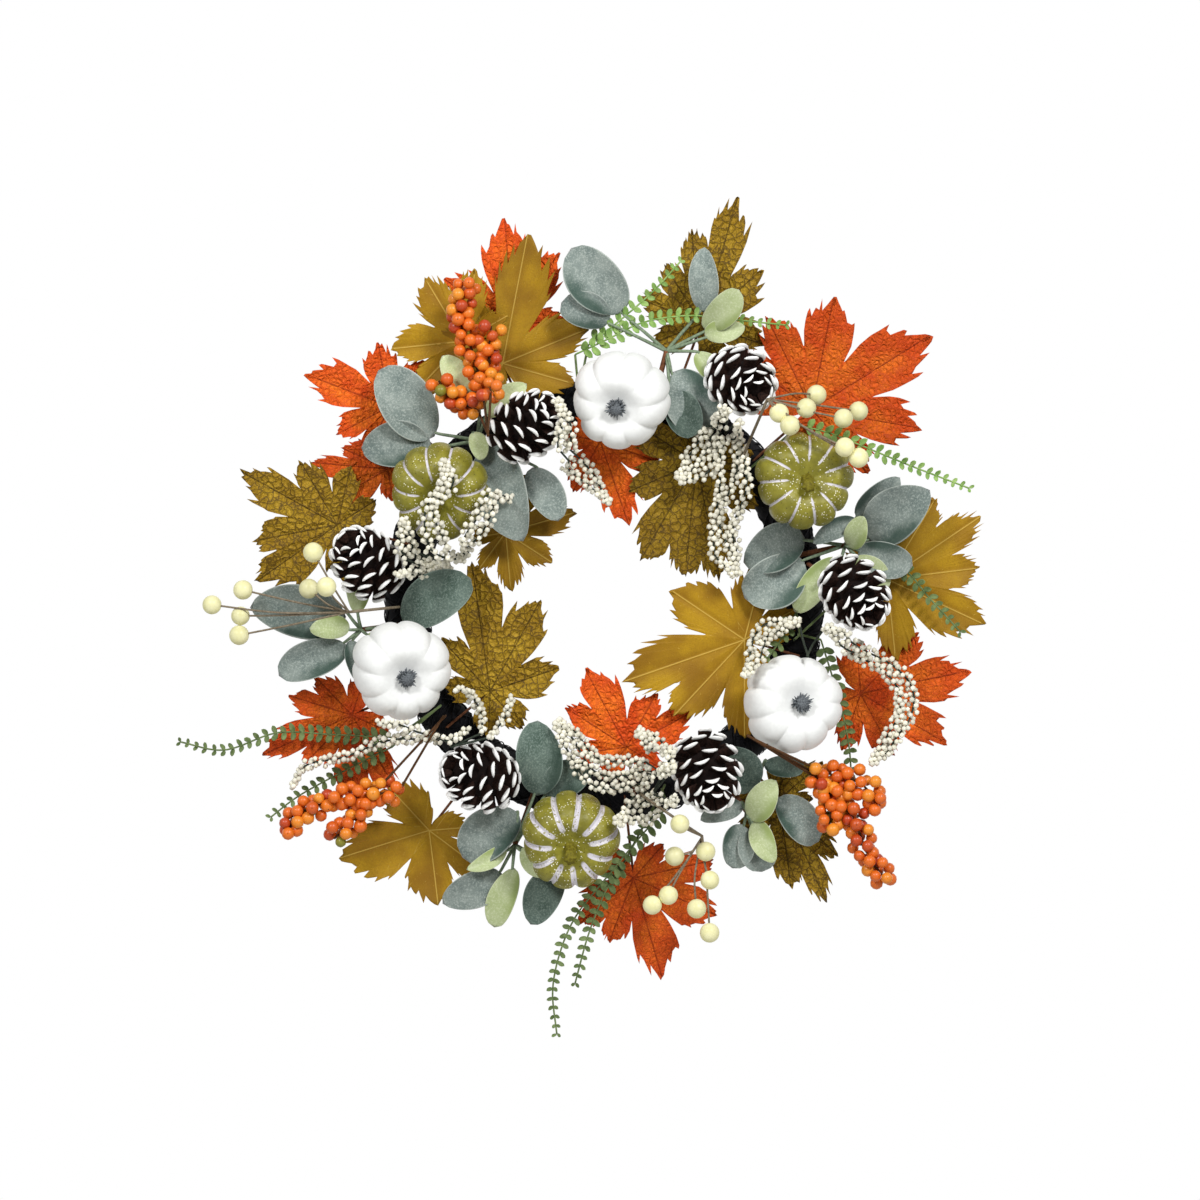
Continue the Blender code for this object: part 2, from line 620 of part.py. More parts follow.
def fork(foot, index):
    """Where one branch leaves a stalk: a little below the top, each branch at its own height."""
    return foot[-1] + Vector((0.0, FORK_DROP + FORK_STEP * index, 0.0))


def lobed_outline(lobes, notch, tooth):
    """Headings and lengths round a leaf, from one side of its stem round to the other."""
    count = len(lobes)
    gaps = [((lobes[(index + 1) % count][0] - lobes[index][0]) % 360, index) for index in range(count)]
    stem_gap, last = max(gaps)
    order = [lobes[(last + 1 + step) % count] for step in range(count)]
    start = order[0][0]
    order = [((turn - start) % 360 + start, length) for turn, length in order]
    shoulder = min(stem_gap / 2.6, LEAF_SHOULDER_ANGLE)
    points = [(start - stem_gap / 2, LEAF_STEM_NOTCH_SHARE * order[0][1]),
              (start - shoulder, LEAF_SHOULDER_SHARE * order[0][1])]
    for index, (turn, length) in enumerate(order):
        before = turn - order[index - 1][0] if index else min(stem_gap, LEAF_END_LOBE_ANGLE)
        after = order[index + 1][0] - turn if index < count - 1 else min(stem_gap, LEAF_END_LOBE_ANGLE)
        low = LEAF_TOOTH_SPREAD * before
        high = LEAF_TOOTH_SPREAD * after
        outer = (tooth - LEAF_TOOTH_FALL) * length
        points += [(turn - low, outer), (turn - low / 2, tooth * length), (turn, length),
                   (turn + high / 2, tooth * length), (turn + high, outer)]
        if index < count - 1:
            points.append((turn + after / 2, notch * min(length, order[index + 1][1])))
    points.append((order[-1][0] + shoulder, LEAF_SHOULDER_SHARE * order[-1][1]))
    return points


def pressed_leaf(name, family, layer, stalk, centre, lobes, finished, workshop):
    """One pressed fabric leaf on its wire stem."""
    depth = layer_depth(layer)
    middle = ring_point(*centre, depth)
    points = [middle + heading(turn) * length * LEAF_SCALE
              for turn, length in lobed_outline(lobes, *LEAF_FAMILIES[family])]
    blade = plate("blade", points, LEAF_THICKNESS, workshop)
    turn, length = max(lobes, key=lambda lobe: lobe[1])
    vein_end = middle + heading(turn) * length * LEAF_SCALE * LEAF_VEIN_SHARE
    path = stalk_path(stalk, depth)
    path += [middle, vein_end]
    radii = [STALK_RADIUS, STALK_RADIUS, STEM_RADIUS, STEM_RADIUS]
    stem = tube("stem", path, radii, workshop)
    slot = "orange_fabric"
    if name.startswith("gold_embossed"):
        slot = "gold_embossed_fabric"
    if name.startswith("gold_smooth"):
        slot = "gold_smooth_fabric"
    unite(name, [blade, stem], slot, finished, stalk)


def lambs_ear_spray(name, stalk, hub, leaves, finished, workshop):
    """A forked stem carrying soft oval leaves, each tipped a little forward."""
    depth = layer_depth(LAMBS_EAR_LAYER)
    root = ring_point(*hub, depth)
    path = stalk_path(stalk, depth)
    radii = [STALK_RADIUS, STALK_RADIUS]
    if (root - path[-1]).length > 4.0:
        path.append(root)
        radii.append(STEM_RADIUS)
    pieces = [tube("stalk", path, radii, workshop)]
    for index, (place, turn, length, width, lift) in enumerate(leaves):
        base = ring_point(*place, depth)
        along = heading(turn, lift)
        across = heading(turn + 90)
        up = along.cross(across).normalized()
        size = length * LAMBS_EAR_SCALE
        rim = [base + along * size * far + across * width * wide / 2 for far, wide in LAMBS_EAR_HALF]
        rim.append(base + along * size)
        rim += [base + along * size * far - across * width * wide / 2
                for far, wide in reversed(LAMBS_EAR_HALF)]
        pieces.append(plate("leaf", rim, LAMBS_EAR_THICKNESS, workshop, up))
        twig = [fork(path, TWIG_FORK_STEP * index - 1.0), base, base + along * size * (0.16 + 0.006 * index)]
        pieces.append(tube("twig", twig, [STEM_RADIUS] * 3, workshop, TWIG_SIDES))
    unite(name, pieces, "lambs_ear_flock", finished, stalk)


def resample(points, step):
    """Evenly spaced places along a line of straight runs."""
    lengths = [0.0]
    for here, there in zip(points, points[1:]):
        lengths.append(lengths[-1] + (there - here).length)
    count = max(2, round(lengths[-1] / step))
    places = []
    run = 0
    for index in range(count + 1):
        want = lengths[-1] * index / count
        while run < len(points) - 2 and lengths[run + 1] < want:
            run += 1
        share = (want - lengths[run]) / (lengths[run + 1] - lengths[run])
        places.append(points[run].lerp(points[run + 1], share))
    return places


def fern_frond(path, workshop):
    """A flat frond: a thin spine with a round leaflet on each side at every step."""
    places = resample(path, FERN_LEAFLET_PITCH)
    left = []
    right = []
    for index, place in enumerate(places):
        ahead = places[min(index + 1, len(places) - 1)]
        behind = places[max(index - 1, 0)]
        along = (ahead - behind).normalized()
        across = along.cross(Vector((0.0, -1.0, 0.0))).normalized()
        share = 1.0 - 0.45 * index / len(places)
        half = FERN_LEAFLET_WIDTH * share / 2
        reach = FERN_LEAFLET_REACH * share
        for side, edge in ((1, left), (-1, right)):
            spine = place + across * side * FERN_SPINE_HALF_WIDTH
            edge.append(spine - along * half * 0.45)
            if index < len(places) - 1:
                edge.append(spine + across * side * reach * 0.8 - along * half)
                edge.append(spine + across * side * reach + along * half)
                edge.append(spine + along * half * 0.55)
        if index == len(places) - 1:
            left.append(place + along * reach)
    return plate("frond", left + list(reversed(right)), FERN_THICKNESS, workshop)


def fern_pick(name, layer, stalk, fronds, finished, workshop):
    """Fern fronds that share one stalk."""
    depth = layer_depth(layer)
    foot = stalk_path(stalk, depth)
    pieces = []
    for index, frond in enumerate(fronds):
        path = [ring_point(*place, depth + FORK_STEP * index) for place in frond]
        pieces.append(fern_frond(path, workshop))
        twig = [fork(foot, index - 1.0), path[0], path[0].lerp(path[1], 0.5)]
        pieces.append(tube("twig", twig, [STEM_RADIUS] * 3, workshop, TWIG_SIDES))
    pieces.append(tube("stalk", foot, [STALK_RADIUS] * 2, workshop))
    unite(name, pieces, "fern_plastic", finished, stalk)


def body_depth(kind):
    """Depth of a round body's back and of its front."""
    back = layer_depth(LAMBS_EAR_LAYER) + BODY_STEM_GAP + BODY_BACK_GAP
    height = CONE_LENGTH if kind == "pine_cone" else PUMPKIN_HEIGHT
    return back, back + height


def draped(point, margin):
    """Move a point forward until it clears every pumpkin and cone by the margin."""
    depth = -point.y
    for name, kind, stalk, centre, radius in BODIES:
        back, front = body_depth(kind)
        middle = ring_point(*centre, 0.0)
        away = math.hypot(point.x - middle.x, point.z - middle.z) / (radius + margin + DRAPE_LEAD)
        if away < 1.0:
            dome = (front + back) / 2 + ((front - back) / 2 + margin) * (1.0 - away ** 3) ** 0.4
            depth = max(depth, dome)
    return Vector((point.x, -depth, point.z))


def lead_in(foot, number, start):
    """The bare wire from the top of a stalk to just short of where a strand starts."""
    between = resample([foot[-1], start], LEAD_STEP)[1:-1]
    return [fork(foot, number)] + [draped(point, LEAD_MARGIN) for point in between]


def small_berry_spray(name, stalk, strands, finished, workshop):
    """Strands of tiny berries, each strand a knobbly run of clusters."""
    foot = stalk_path(stalk, spray_depth(SMALL_SPRAY_GAP))
    pieces = [tube("stalk", foot, [STALK_RADIUS] * 2, workshop)]
    pieces.append(ball("knot", foot[-1], KNOT_RADIUS, workshop))
    for number, strand in enumerate(strands):
        path = [ring_point(*place, spray_depth(SMALL_SPRAY_GAP) + RISE_PER_PLACE * index + FORK_STEP * number)
                for index, place in enumerate(strand)]
        places = [draped(point, SMALL_STRAND_MARGIN) for point in resample(path, SMALL_CLUSTER_STEP)]
        radii = [SMALL_CLUSTER_WAIST if index % 2 else SMALL_CLUSTER_RADIUS for index in range(len(places))]
        radii[0] = SMALL_CLUSTER_WAIST
        radii[-1] = SMALL_CLUSTER_WAIST
        pieces.append(tube("strand", places, radii, workshop, SMALL_CLUSTER_SIDES))
        lead = lead_in(foot, number, path[0])
        lead.append(places[0])
        lead.append(places[0].lerp(places[1], 0.5 + 0.03 * number))
        pieces.append(tube("lead", lead, [STEM_RADIUS] * len(lead), workshop, TWIG_SIDES))
    unite(name, pieces, "small_white_berry", finished)


def orange_berry_spray(name, stalk, strands, finished, workshop):
    """Twigs with round berries set alternately on each side."""
    foot = stalk_path(stalk, spray_depth(ORANGE_SPRAY_GAP))
    pieces = [tube("stalk", foot, [STALK_RADIUS] * 2, workshop)]
    for number, strand in enumerate(strands):
        path = [ring_point(*place, spray_depth(ORANGE_SPRAY_GAP) + RISE_PER_PLACE * index + FORK_STEP * number)
                for index, place in enumerate(strand)]
        places = [draped(point, ORANGE_TWIG_MARGIN) for point in resample(path, ORANGE_BERRY_STEP)]
        lead = lead_in(foot, number, path[0])
        run = lead + places
        pieces.append(tube("twig", run, [STEM_RADIUS] * len(run), workshop, TWIG_SIDES))
        for index, place in enumerate(places):
            ahead = places[min(index + 1, len(places) - 1)] - places[max(index - 1, 0)]
            across = ahead.cross(Vector((0.0, 1.0, 0.0))).normalized()
            shift = across * ORANGE_BERRY_RADIUS * ORANGE_BERRY_OFFSET * (1 if index % 2 else -1)
            pieces.append(ball("berry", place + shift, ORANGE_BERRY_RADIUS, workshop, 5, 3))
    unite(name, pieces, "orange_berry", finished)


def cream_berry_spray(name, stalk, hub, berries, finished, workshop):
    """Large berries on long bendable wires that fan out from one stalk."""
    foot = stalk_path(stalk, spray_depth(CREAM_SPRAY_GAP))
    crown = draped(ring_point(*hub, spray_depth(CREAM_SPRAY_GAP)), CREAM_WIRE_MARGIN)
    trunk = foot + [draped(point, CREAM_WIRE_MARGIN)
                    for point in resample([foot[-1], crown], CREAM_TRUNK_STEP)[1:]]
    pieces = [tube("stalk", trunk, [STALK_RADIUS] * len(trunk), workshop)]
    pieces.append(ball("knot", crown, KNOT_RADIUS, workshop))
    for place in berries:
        centre = draped(ring_point(*place, spray_depth(CREAM_SPRAY_GAP) + CREAM_BERRY_LIFT), CREAM_BERRY_MARGIN)
        wire = [draped(point, CREAM_WIRE_MARGIN) for point in resample([crown, centre], CREAM_WIRE_STEP)]
        wire[0] = crown
        wire[-1] = centre
        pieces.append(tube("wire", wire, [CREAM_WIRE_RADIUS] * len(wire), workshop, TWIG_SIDES))
        pieces.append(ball("berry", centre, CREAM_BERRY_RADIUS, workshop))
    unite(name, pieces, "cream_berry", finished)


def body_stem(stalk, centre, workshop):
    """The stalk of a round body: up from the ring, across, and into the body's back."""
    cross_depth = layer_depth(LAMBS_EAR_LAYER) + BODY_STEM_GAP
    grip_depth = cross_depth + BODY_BACK_GAP + BODY_STEM_GRIP
    inside = ring_point(*centre, grip_depth)
    path = stalk_path(stalk, cross_depth)
    corner = ring_point(*centre, cross_depth)
    if (corner - path[-1]).length > 5.0:
        path += [corner, inside]
    else:
        path[-1] = ring_point(*stalk, grip_depth)
    return tube("stalk", path, [STALK_RADIUS] * len(path), workshop)


def pumpkin(name, kind, stalk, centre, radius, finished, workshop):
    """A squat lobed foam pumpkin facing forward, with a moulded or a separate bristly stem."""
    back, front = body_depth(kind)
    middle = (back + front) / 2
    rings = []
    for (rise, wide), share in zip(PUMPKIN_PROFILE, PUMPKIN_LOBE_SHARE):
        ring = []
        for step in range(2 * PUMPKIN_LOBES):
            turn = math.pi * step / PUMPKIN_LOBES
            dent = 1.0 - (1.0 - PUMPKIN_GROOVE) * share * (step % 2)
            spread = heading(math.degrees(turn)) * radius * wide * dent
            ring.append(ring_point(*centre, middle + rise * PUMPKIN_HEIGHT / 2) + spread)
        rings.append(ring)
    pieces = [loft("body", rings, workshop), body_stem(stalk, centre, workshop)]
    seat = middle + PUMPKIN_PROFILE[0][0] * PUMPKIN_HEIGHT / 2
    foot_radius = radius * PUMPKIN_PROFILE[0][1] - 1.0
    if kind == "green_pumpkin":
        path = [ring_point(*centre, seat + lift)
                for lift in (-PUMPKIN_KNOB_ROOT, PUMPKIN_STEM_HEIGHT * 0.6, PUMPKIN_STEM_HEIGHT)]
        radii = [foot_radius, foot_radius * 0.7, foot_radius * 0.8]
        pieces.append(tube("knob", path, radii, workshop, PUMPKIN_KNOB_SIDES))
    smooth(unite(name, pieces, "white_foam" if kind == "white_pumpkin" else "olive_foam", finished))
    if kind == "white_pumpkin":
        bristly_stem(name.replace("pumpkin", "pumpkin_stem"), centre, seat, foot_radius, finished, workshop)


def bristly_stem(name, centre, seat, foot_radius, finished, workshop):
    """A pumpkin's separate stem: a short fluted plug that stands just clear of its dimple."""
    rings = []
    for rise, wide in STAR_PROFILE:
        depth = seat + SEAT_GAP + rise * (PUMPKIN_STEM_HEIGHT - SEAT_GAP)
        ring = []
        for step in range(PUMPKIN_STEM_POINTS):
            flute = 1.0 if step % 2 else PUMPKIN_STEM_FLUTE
            spread = heading(360.0 * step / PUMPKIN_STEM_POINTS) * foot_radius * wide * flute
            ring.append(ring_point(*centre, depth) + spread)
        rings.append(ring)
    unite(name, [loft("star", rings, workshop)], "charcoal_stem", finished)


def pine_cone(name, kind, stalk, centre, radius, finished, workshop):
    """A pine cone pointing forward: rows of scale tips with recesses between them."""
    back, front = body_depth(kind)
    rings = []
    for row, (rise, wide) in enumerate(CONE_PROFILE):
        tips = row % 2 == 1
        ring = []
        for step in range(2 * CONE_POINTS):
            dent = CONE_GAP_SHARE if tips and (step + row // 2) % 2 else 1.0
            spread = heading(360.0 * step / (2 * CONE_POINTS)) * radius * wide * dent
            ring.append(ring_point(*centre, back + rise * CONE_LENGTH) + spread)
        rings.append(ring)
    pieces = [loft("cone", rings, workshop), body_stem(stalk, centre, workshop)]
    unite(name, pieces, "cone_brown", finished)


def build():
    """Make every piece of the wreath."""
    clear_scene()
    finished = bpy.data.collections.new("harvest_door_wreath")
    workshop = bpy.data.collections.new("workshop")
    bpy.context.scene.collection.children.link(finished)
    bpy.context.scene.collection.children.link(workshop)
    ring_hoop(finished, workshop)
    ring_wrap(finished, workshop)
    for entry in LEAVES:
        pressed_leaf(*entry, finished, workshop)
    for entry in LAMBS_EAR:
        lambs_ear_spray(*entry, finished, workshop)
    for entry in FERNS:
        fern_pick(*entry, finished, workshop)
    for entry in SMALL:
        small_berry_spray(*entry, finished, workshop)
    for entry in ORANGE:
        orange_berry_spray(*entry, finished, workshop)
    for entry in CREAM:
        cream_berry_spray(*entry, finished, workshop)
    for entry in BODIES:
        maker = pine_cone if entry[1] == "pine_cone" else pumpkin
        maker(*entry, finished, workshop)
    bpy.data.collections.remove(workshop)


build()
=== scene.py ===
"""The finished look of the harvest door wreath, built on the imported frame."""

import functools
import json
import math

import bmesh
import bpy
import numpy as np
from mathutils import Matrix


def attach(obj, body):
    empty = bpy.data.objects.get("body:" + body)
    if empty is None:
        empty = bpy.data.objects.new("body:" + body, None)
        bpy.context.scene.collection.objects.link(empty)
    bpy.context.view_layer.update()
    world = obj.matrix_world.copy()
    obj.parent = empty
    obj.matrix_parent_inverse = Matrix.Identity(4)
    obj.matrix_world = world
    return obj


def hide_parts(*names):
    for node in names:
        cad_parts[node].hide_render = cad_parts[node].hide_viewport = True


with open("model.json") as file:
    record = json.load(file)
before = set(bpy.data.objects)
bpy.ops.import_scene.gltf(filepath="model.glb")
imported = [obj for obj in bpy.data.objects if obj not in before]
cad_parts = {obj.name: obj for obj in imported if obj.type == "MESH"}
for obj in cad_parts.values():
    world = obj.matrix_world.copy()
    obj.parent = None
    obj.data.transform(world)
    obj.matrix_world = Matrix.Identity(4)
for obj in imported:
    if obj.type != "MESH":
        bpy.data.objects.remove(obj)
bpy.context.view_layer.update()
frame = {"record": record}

MM = 0.001
HOOK_TO_CENTRE = 133.0
RING_RADIUS = 150.0
RING_TUBE = 17.0
FIRST_LAYER_GAP = 2.5
LAYER_PITCH = 1.9
LAMBS_EAR_LAYER = 6
STALK_FOOT = 10.0
PUMPKIN_MIDDLE = 62.0
CONE_MIDDLE = 61.0
GOLDEN_TURN = 2.39996
SCALE_COUNT = 60
FLOOR_HEIGHT = -1.1
FLOOR_HALF = 3.0
FLOOR_GLOW = 0.42
ROOM_LIGHT = 0.30
LAMP_SIZE = 0.6
FORWARD = np.array([0.0, -1.0, 0.0])

BODY_OF = {}
for body_name, members in frame["record"]["behaviour"]["bodies"].items():
    for member in members:
        BODY_OF[member] = body_name

# ---------------------------------------------------------------- camera
camera_data = bpy.data.cameras.new("front_camera")
camera_data.lens = 130.0
camera_data.sensor_width = 36.0
camera = bpy.data.objects.new("front_camera", camera_data)
camera.location = (-0.003, -3.29, -0.133)
camera.rotation_euler = (math.pi / 2, 0.0, 0.0)
bpy.context.scene.collection.objects.link(camera)
bpy.context.scene.camera = camera

# leaf: name, outline family, layer, stalk (angle, radius), vein centre (angle, radius), and its lobes
# (heading, length). Angles go round the ring from its right side, radii and lengths are millimetres.
LEAVES = [
    ("orange_maple_leaf_top", "maple", 0, (108, 150), (108.5, 218),
     [(-175, 45), (8, 40), (58, 66), (94, 82), (145, 63)]),
    ("orange_maple_leaf_upper_left", "maple", 1, (138, 150), (137.9, 218),
     [(-152, 46), (-116, 39), (51, 44), (100, 49), (159, 68)]),
    ("orange_maple_leaf_left", "maple", 0, (149, 150), (148.8, 191),
     [(-150, 48), (91, 36), (155, 38), (175, 58)]),
    ("orange_maple_leaf_centre", "maple", 0, (91, 150), (91.4, 120),
     [(-118, 44), (-71, 68), (-20, 48), (21, 42), (169, 31)]),
    ("orange_maple_leaf_upper_right", "maple", 0, (43, 156), (42.6, 213),
     [(-49, 65), (-10, 83), (32, 105), (79, 86), (116, 77), (144, 66)]),
    ("orange_maple_leaf_right", "maple", 0, (-20, 150), (-20, 206),
     [(-62, 53), (-30, 75), (12, 84), (46, 64), (94, 41)]),
    ("orange_maple_leaf_bottom", "maple", 0, (-84, 150), (-83.9, 211),
     [(-140, 53), (-111, 52), (-74, 78), (-24, 69), (13, 62)]),
    ("orange_maple_leaf_lower_centre", "maple", 1, (-81, 150), (-81.2, 112),
     [(28, 58), (61, 46), (118, 67), (147, 55)]),
    ("orange_maple_leaf_lower_left", "maple", 1, (-155, 150), (-155.5, 209),
     [(-156, 74), (-134, 51), (-89, 68), (-59, 65), (134, 40), (163, 50)]),
    ("gold_embossed_leaf_top", "maple", 1, (71, 150), (70.6, 221),
     [(42, 61), (74, 100), (96, 72), (122, 53)]),
    ("gold_embossed_leaf_left", "maple", 2, (164, 156), (164.2, 209),
     [(-169, 64), (-145, 74), (-81, 43), (120, 55), (151, 83)]),
    ("gold_embossed_leaf_centre", "maple", 2, (56, 150), (56, 125),
     [(-157, 56), (-120, 86), (-96, 85), (-79, 90)]),
    ("gold_embossed_leaf_lower_left", "maple", 2, (-141, 150), (-141.3, 110),
     [(-49, 38), (19, 55), (61, 79), (98, 99), (133, 54)]),
    ("gold_embossed_leaf_lower_right", "maple", 0, (-49, 150), (-48.7, 200),
     [(-82, 68), (-65, 86), (-44, 62), (0, 26)]),
    ("gold_smooth_leaf_upper_left", "grape", 3, (119, 150), (118.6, 222),
     [(-174, 54), (-133, 51), (80, 55), (121, 56)]),
    ("gold_smooth_leaf_top", "grape", 2, (113, 150), (113.2, 194),
     [(-16, 56), (22, 70), (79, 99), (117, 52)]),
    ("gold_smooth_leaf_centre", "grape", 1, (144, 150), (145.5, 90),
     [(-85, 44), (-33, 42), (16, 55), (64, 52)]),
    ("gold_smooth_leaf_lower_centre", "grape", 3, (-16, 150), (-15.8, 110),
     [(-161, 98), (-133, 79), (-90, 74), (146, 67)]),
    ("gold_smooth_leaf_right", "grape", 2, (4, 150), (4.2, 214),
     [(-84, 61), (-25, 81), (7, 70), (34, 85), (59, 70)]),
    ("gold_smooth_leaf_bottom", "grape", 2, (-127, 150), (-127.2, 218),
     [(-163, 71), (-83, 57), (-37, 56), (133, 46)]),
]
# lamb's-ear spray: name, stalk, hub, and leaves (base, heading, length, width, lift in degrees)
LAMBS_EAR = [
    ("lambs_ear_spray_upper_left", (128, 150), (128.4, 153), [
        ((135, 177), 136, 65, 40, 10), ((138.7, 172), 178, 53, 34, 5), ((128.6, 147), -64, 78, 40, 8),
        ((117.2, 113), -70, 46, 26, 14), ((123.3, 170), 127, 50, 26, 12), ((122.7, 164), 38, 39, 20, 1),
        ((128, 160), -70, 25, 16, 25),
    ]),
    ("lambs_ear_spray_top", (76, 150), (75.9, 193), [
        ((86.4, 216), 127, 62, 39, 8), ((89, 208), 156, 40, 27, 16), ((71.6, 228), 83, 49, 22, 12),
        ((69.3, 216), 52, 42, 26, 25), ((68.9, 211), 18, 32, 20, 18), ((69.4, 199), -57, 31, 20, 1),
        ((73.4, 178), -54, 52, 38, 6), ((72.2, 162), -54, 38, 27, 16),
    ]),
    ("lambs_ear_spray_right", (13, 150), (12.8, 186), [
        ((18, 199), 42, 45, 24, 8), ((12.8, 203), 39, 61, 38, 16), ((11.1, 194), -15, 43, 26, 8),
        ((17.5, 200), -152, 41, 15, 20), ((16.5, 158), -163, 50, 34, 7), ((11.3, 153), -147, 53, 38, 3),
        ((12.3, 187), 59, 29, 20, 30), ((9.9, 192), -45, 34, 21, 2), ((9.6, 180), -134, 52, 24, 1),
    ]),
    ("lambs_ear_spray_left", (-173, 150), (-173, 184), [
        ((-177.3, 194), 180, 72, 39, 6), ((-170.8, 197), -150, 56, 28, 10),
        ((-171, 191), -81, 36, 16, 16), ((-173.2, 152), 34, 62, 36, 8), ((-176.7, 185), 94, 50, 23, 0),
        ((-173.3, 192), 176, 33, 20, 28), ((-171.8, 180), -36, 28, 20, 0),
    ]),
    ("lambs_ear_spray_bottom", (-110, 150), (-110, 196), [
        ((-109.7, 156), 85, 57, 34, 8), ((-106.8, 153), 34, 41, 27, 14),
        ((-112.1, 172), -140, 54, 36, 8), ((-110.9, 218), -149, 50, 27, 10),
        ((-99.3, 204), -118, 48, 27, 10), ((-111, 201), -158, 36, 15, 22),
        ((-108.6, 198), -39, 29, 18, 22), ((-108.9, 212), -105, 47, 24, 5),
    ]),
    ("lambs_ear_spray_lower_right", (-56, 150), (-56, 192), [
        ((-52.4, 182), 124, 40, 32, 8), ((-45.2, 171), -14, 31, 16, 12),
        ((-49.3, 198), -42, 45, 27, 10), ((-55.7, 184), -155, 36, 16, 20),
        ((-58.1, 199), -108, 34, 24, 10), ((-57, 204), -80, 34, 27, 5), ((-56.6, 196), 51, 38, 26, 22),
        ((-56.3, 200), -58, 36, 21, 18),
    ]),
]
# fern pick: name, layer, stalk, and the places that each frond passes
FERNS = [
    ("fern_pick_top", 4, (97, 156), [
        [(96.7, 186), (88.7, 197), (81.8, 211), (73.2, 223), (64.9, 232), (56.5, 247)],
        [(93.6, 192), (86.3, 212), (80.7, 236), (77.3, 260)],
    ]),
    ("fern_pick_upper_right", 3, (42, 150), [
        [(41.8, 197), (36.6, 211), (31.9, 223), (23.8, 251), (17, 287)],
    ]),
    ("fern_pick_left", 4, (-147, 150), [
        [(-146.6, 188), (-153.8, 229), (-157.9, 265), (-158.4, 306), (-161.5, 335)],
        [(-145.3, 195), (-146.5, 228), (-147.3, 271), (-146.9, 298)],
    ]),
    ("fern_pick_bottom", 4, (-73, 150), [
        [(-72.7, 162), (-81.9, 182), (-90, 211), (-94.9, 237), (-97, 264), (-97.5, 295), (-96.2, 327)],
        [(-85.4, 197), (-89.6, 218), (-92.7, 252), (-94.3, 288)],
    ]),
    ("fern_pick_right", 4, (-10, 150), [
        [(-10.4, 166), (-23, 192), (-31.4, 216), (-38.9, 239), (-43.8, 263)],
        [(8.2, 209), (5.5, 228), (0.4, 244), (-5.1, 268)],
        [(-3.6, 145), (-10.9, 138), (-19.5, 130)],
    ]),
]
# spray of small white berries: name, stalk, and the places that each strand passes
SMALL = [
    ("small_white_berry_spray_left", (166, 142), [
        [(164.3, 111), (161.5, 130), (152.4, 146), (143.6, 142), (139.1, 157)],
        [(164.3, 111), (148.8, 109), (138.7, 114), (132.6, 102)],
        [(168, 119), (169, 136), (165, 149), (158, 160)],
        [(166.8, 119), (171.1, 136), (173, 154)],
    ]),
    ("small_white_berry_spray_upper", (101.5, 148), [
        [(103.5, 152), (101.5, 132), (104, 113), (98, 91), (86.5, 73)],
    ]),
    ("small_white_berry_spray_right", (54, 156), [
        [(57.5, 168), (56.9, 142), (55.8, 120), (58.6, 106)],
        [(53.1, 165), (43.2, 132), (34.1, 107), (22, 100), (10.8, 100)],
    ]),
    ("small_white_berry_spray_lower_left", (-136, 156), [
        [(-136.3, 139), (-138.5, 156), (-147, 174), (-151.4, 191)],
        [(-141, 163), (-145.2, 186), (-149.1, 222), (-150.7, 253), (-148.9, 272)],
        [(-132.6, 134), (-139.7, 123), (-145.7, 121), (-149.3, 128)],
        [(-129.7, 132), (-131.5, 112), (-133.5, 100)],
    ]),
    ("small_white_berry_spray_bottom", (-76, 150), [
        [(-67, 133), (-78.4, 134), (-91.3, 128), (-101.3, 111), (-111.5, 98)],
        [(-66, 124), (-70.9, 113), (-75.6, 101)],
        [(-70.5, 158), (-80.8, 158), (-86.7, 164)],
    ]),
    ("small_white_berry_spray_lower_right", (-15, 156), [
        [(-7, 165), (-9.2, 180), (-11.1, 194), (-13.3, 213), (-17, 236), (-21.3, 243), (-25, 239),
         (-31.4, 233)],
        [(-6, 147), (-7, 138), (-11.2, 124), (-19.7, 121), (-28.3, 118)],
    ]),
]
# spray of orange berries, in the same order
ORANGE = [
    ("orange_berry_spray_upper_left", (125, 150), [
        [(121, 173), (117.8, 212), (117.1, 240), (113, 257)],
        [(119, 173), (115, 203), (112.4, 221)],
        [(123.6, 171), (127.2, 188), (127, 205)],
    ]),
    ("orange_berry_spray_lower_left", (-143.5, 152), [
        [(-137, 209), (-140.3, 228), (-143.4, 251), (-145.1, 278), (-143.5, 293)],
        [(-139.8, 230), (-138.6, 252), (-138.5, 269)],
    ]),
    ("orange_berry_spray_right", (-43, 150), [
        [(-39.5, 202), (-40.5, 222), (-45.6, 240)],
        [(-38, 210), (-35.5, 234), (-36.8, 257)],
        [(-39.5, 218), (-41.5, 250), (-44.2, 276), (-44.8, 298)],
    ]),
]
# spray of cream berries: name, stalk, hub, and the place of each berry
CREAM = [
    ("cream_berry_spray_left", (-178, 156), (-177.3, 189),
     [(170.7, 218), (177.8, 220), (177.3, 205), (178.4, 269), (-179.3, 292), (-174.5, 273), (-177.5, 271)]),
    ("cream_berry_spray_upper_right", (46, 150), (50.9, 191),
     [(44, 220), (43.5, 206), (46.9, 189), (43.2, 188), (37.2, 222), (36.6, 236), (32.4, 210), (29.2, 215)]),
    ("cream_berry_spray_bottom", (-78.5, 150), (-67.4, 191),
     [(-71.3, 175), (-74.6, 198), (-68, 202), (-69.3, 223), (-77.7, 225), (-81, 230), (-73.3, 240),
      (-72.4, 260)]),
]

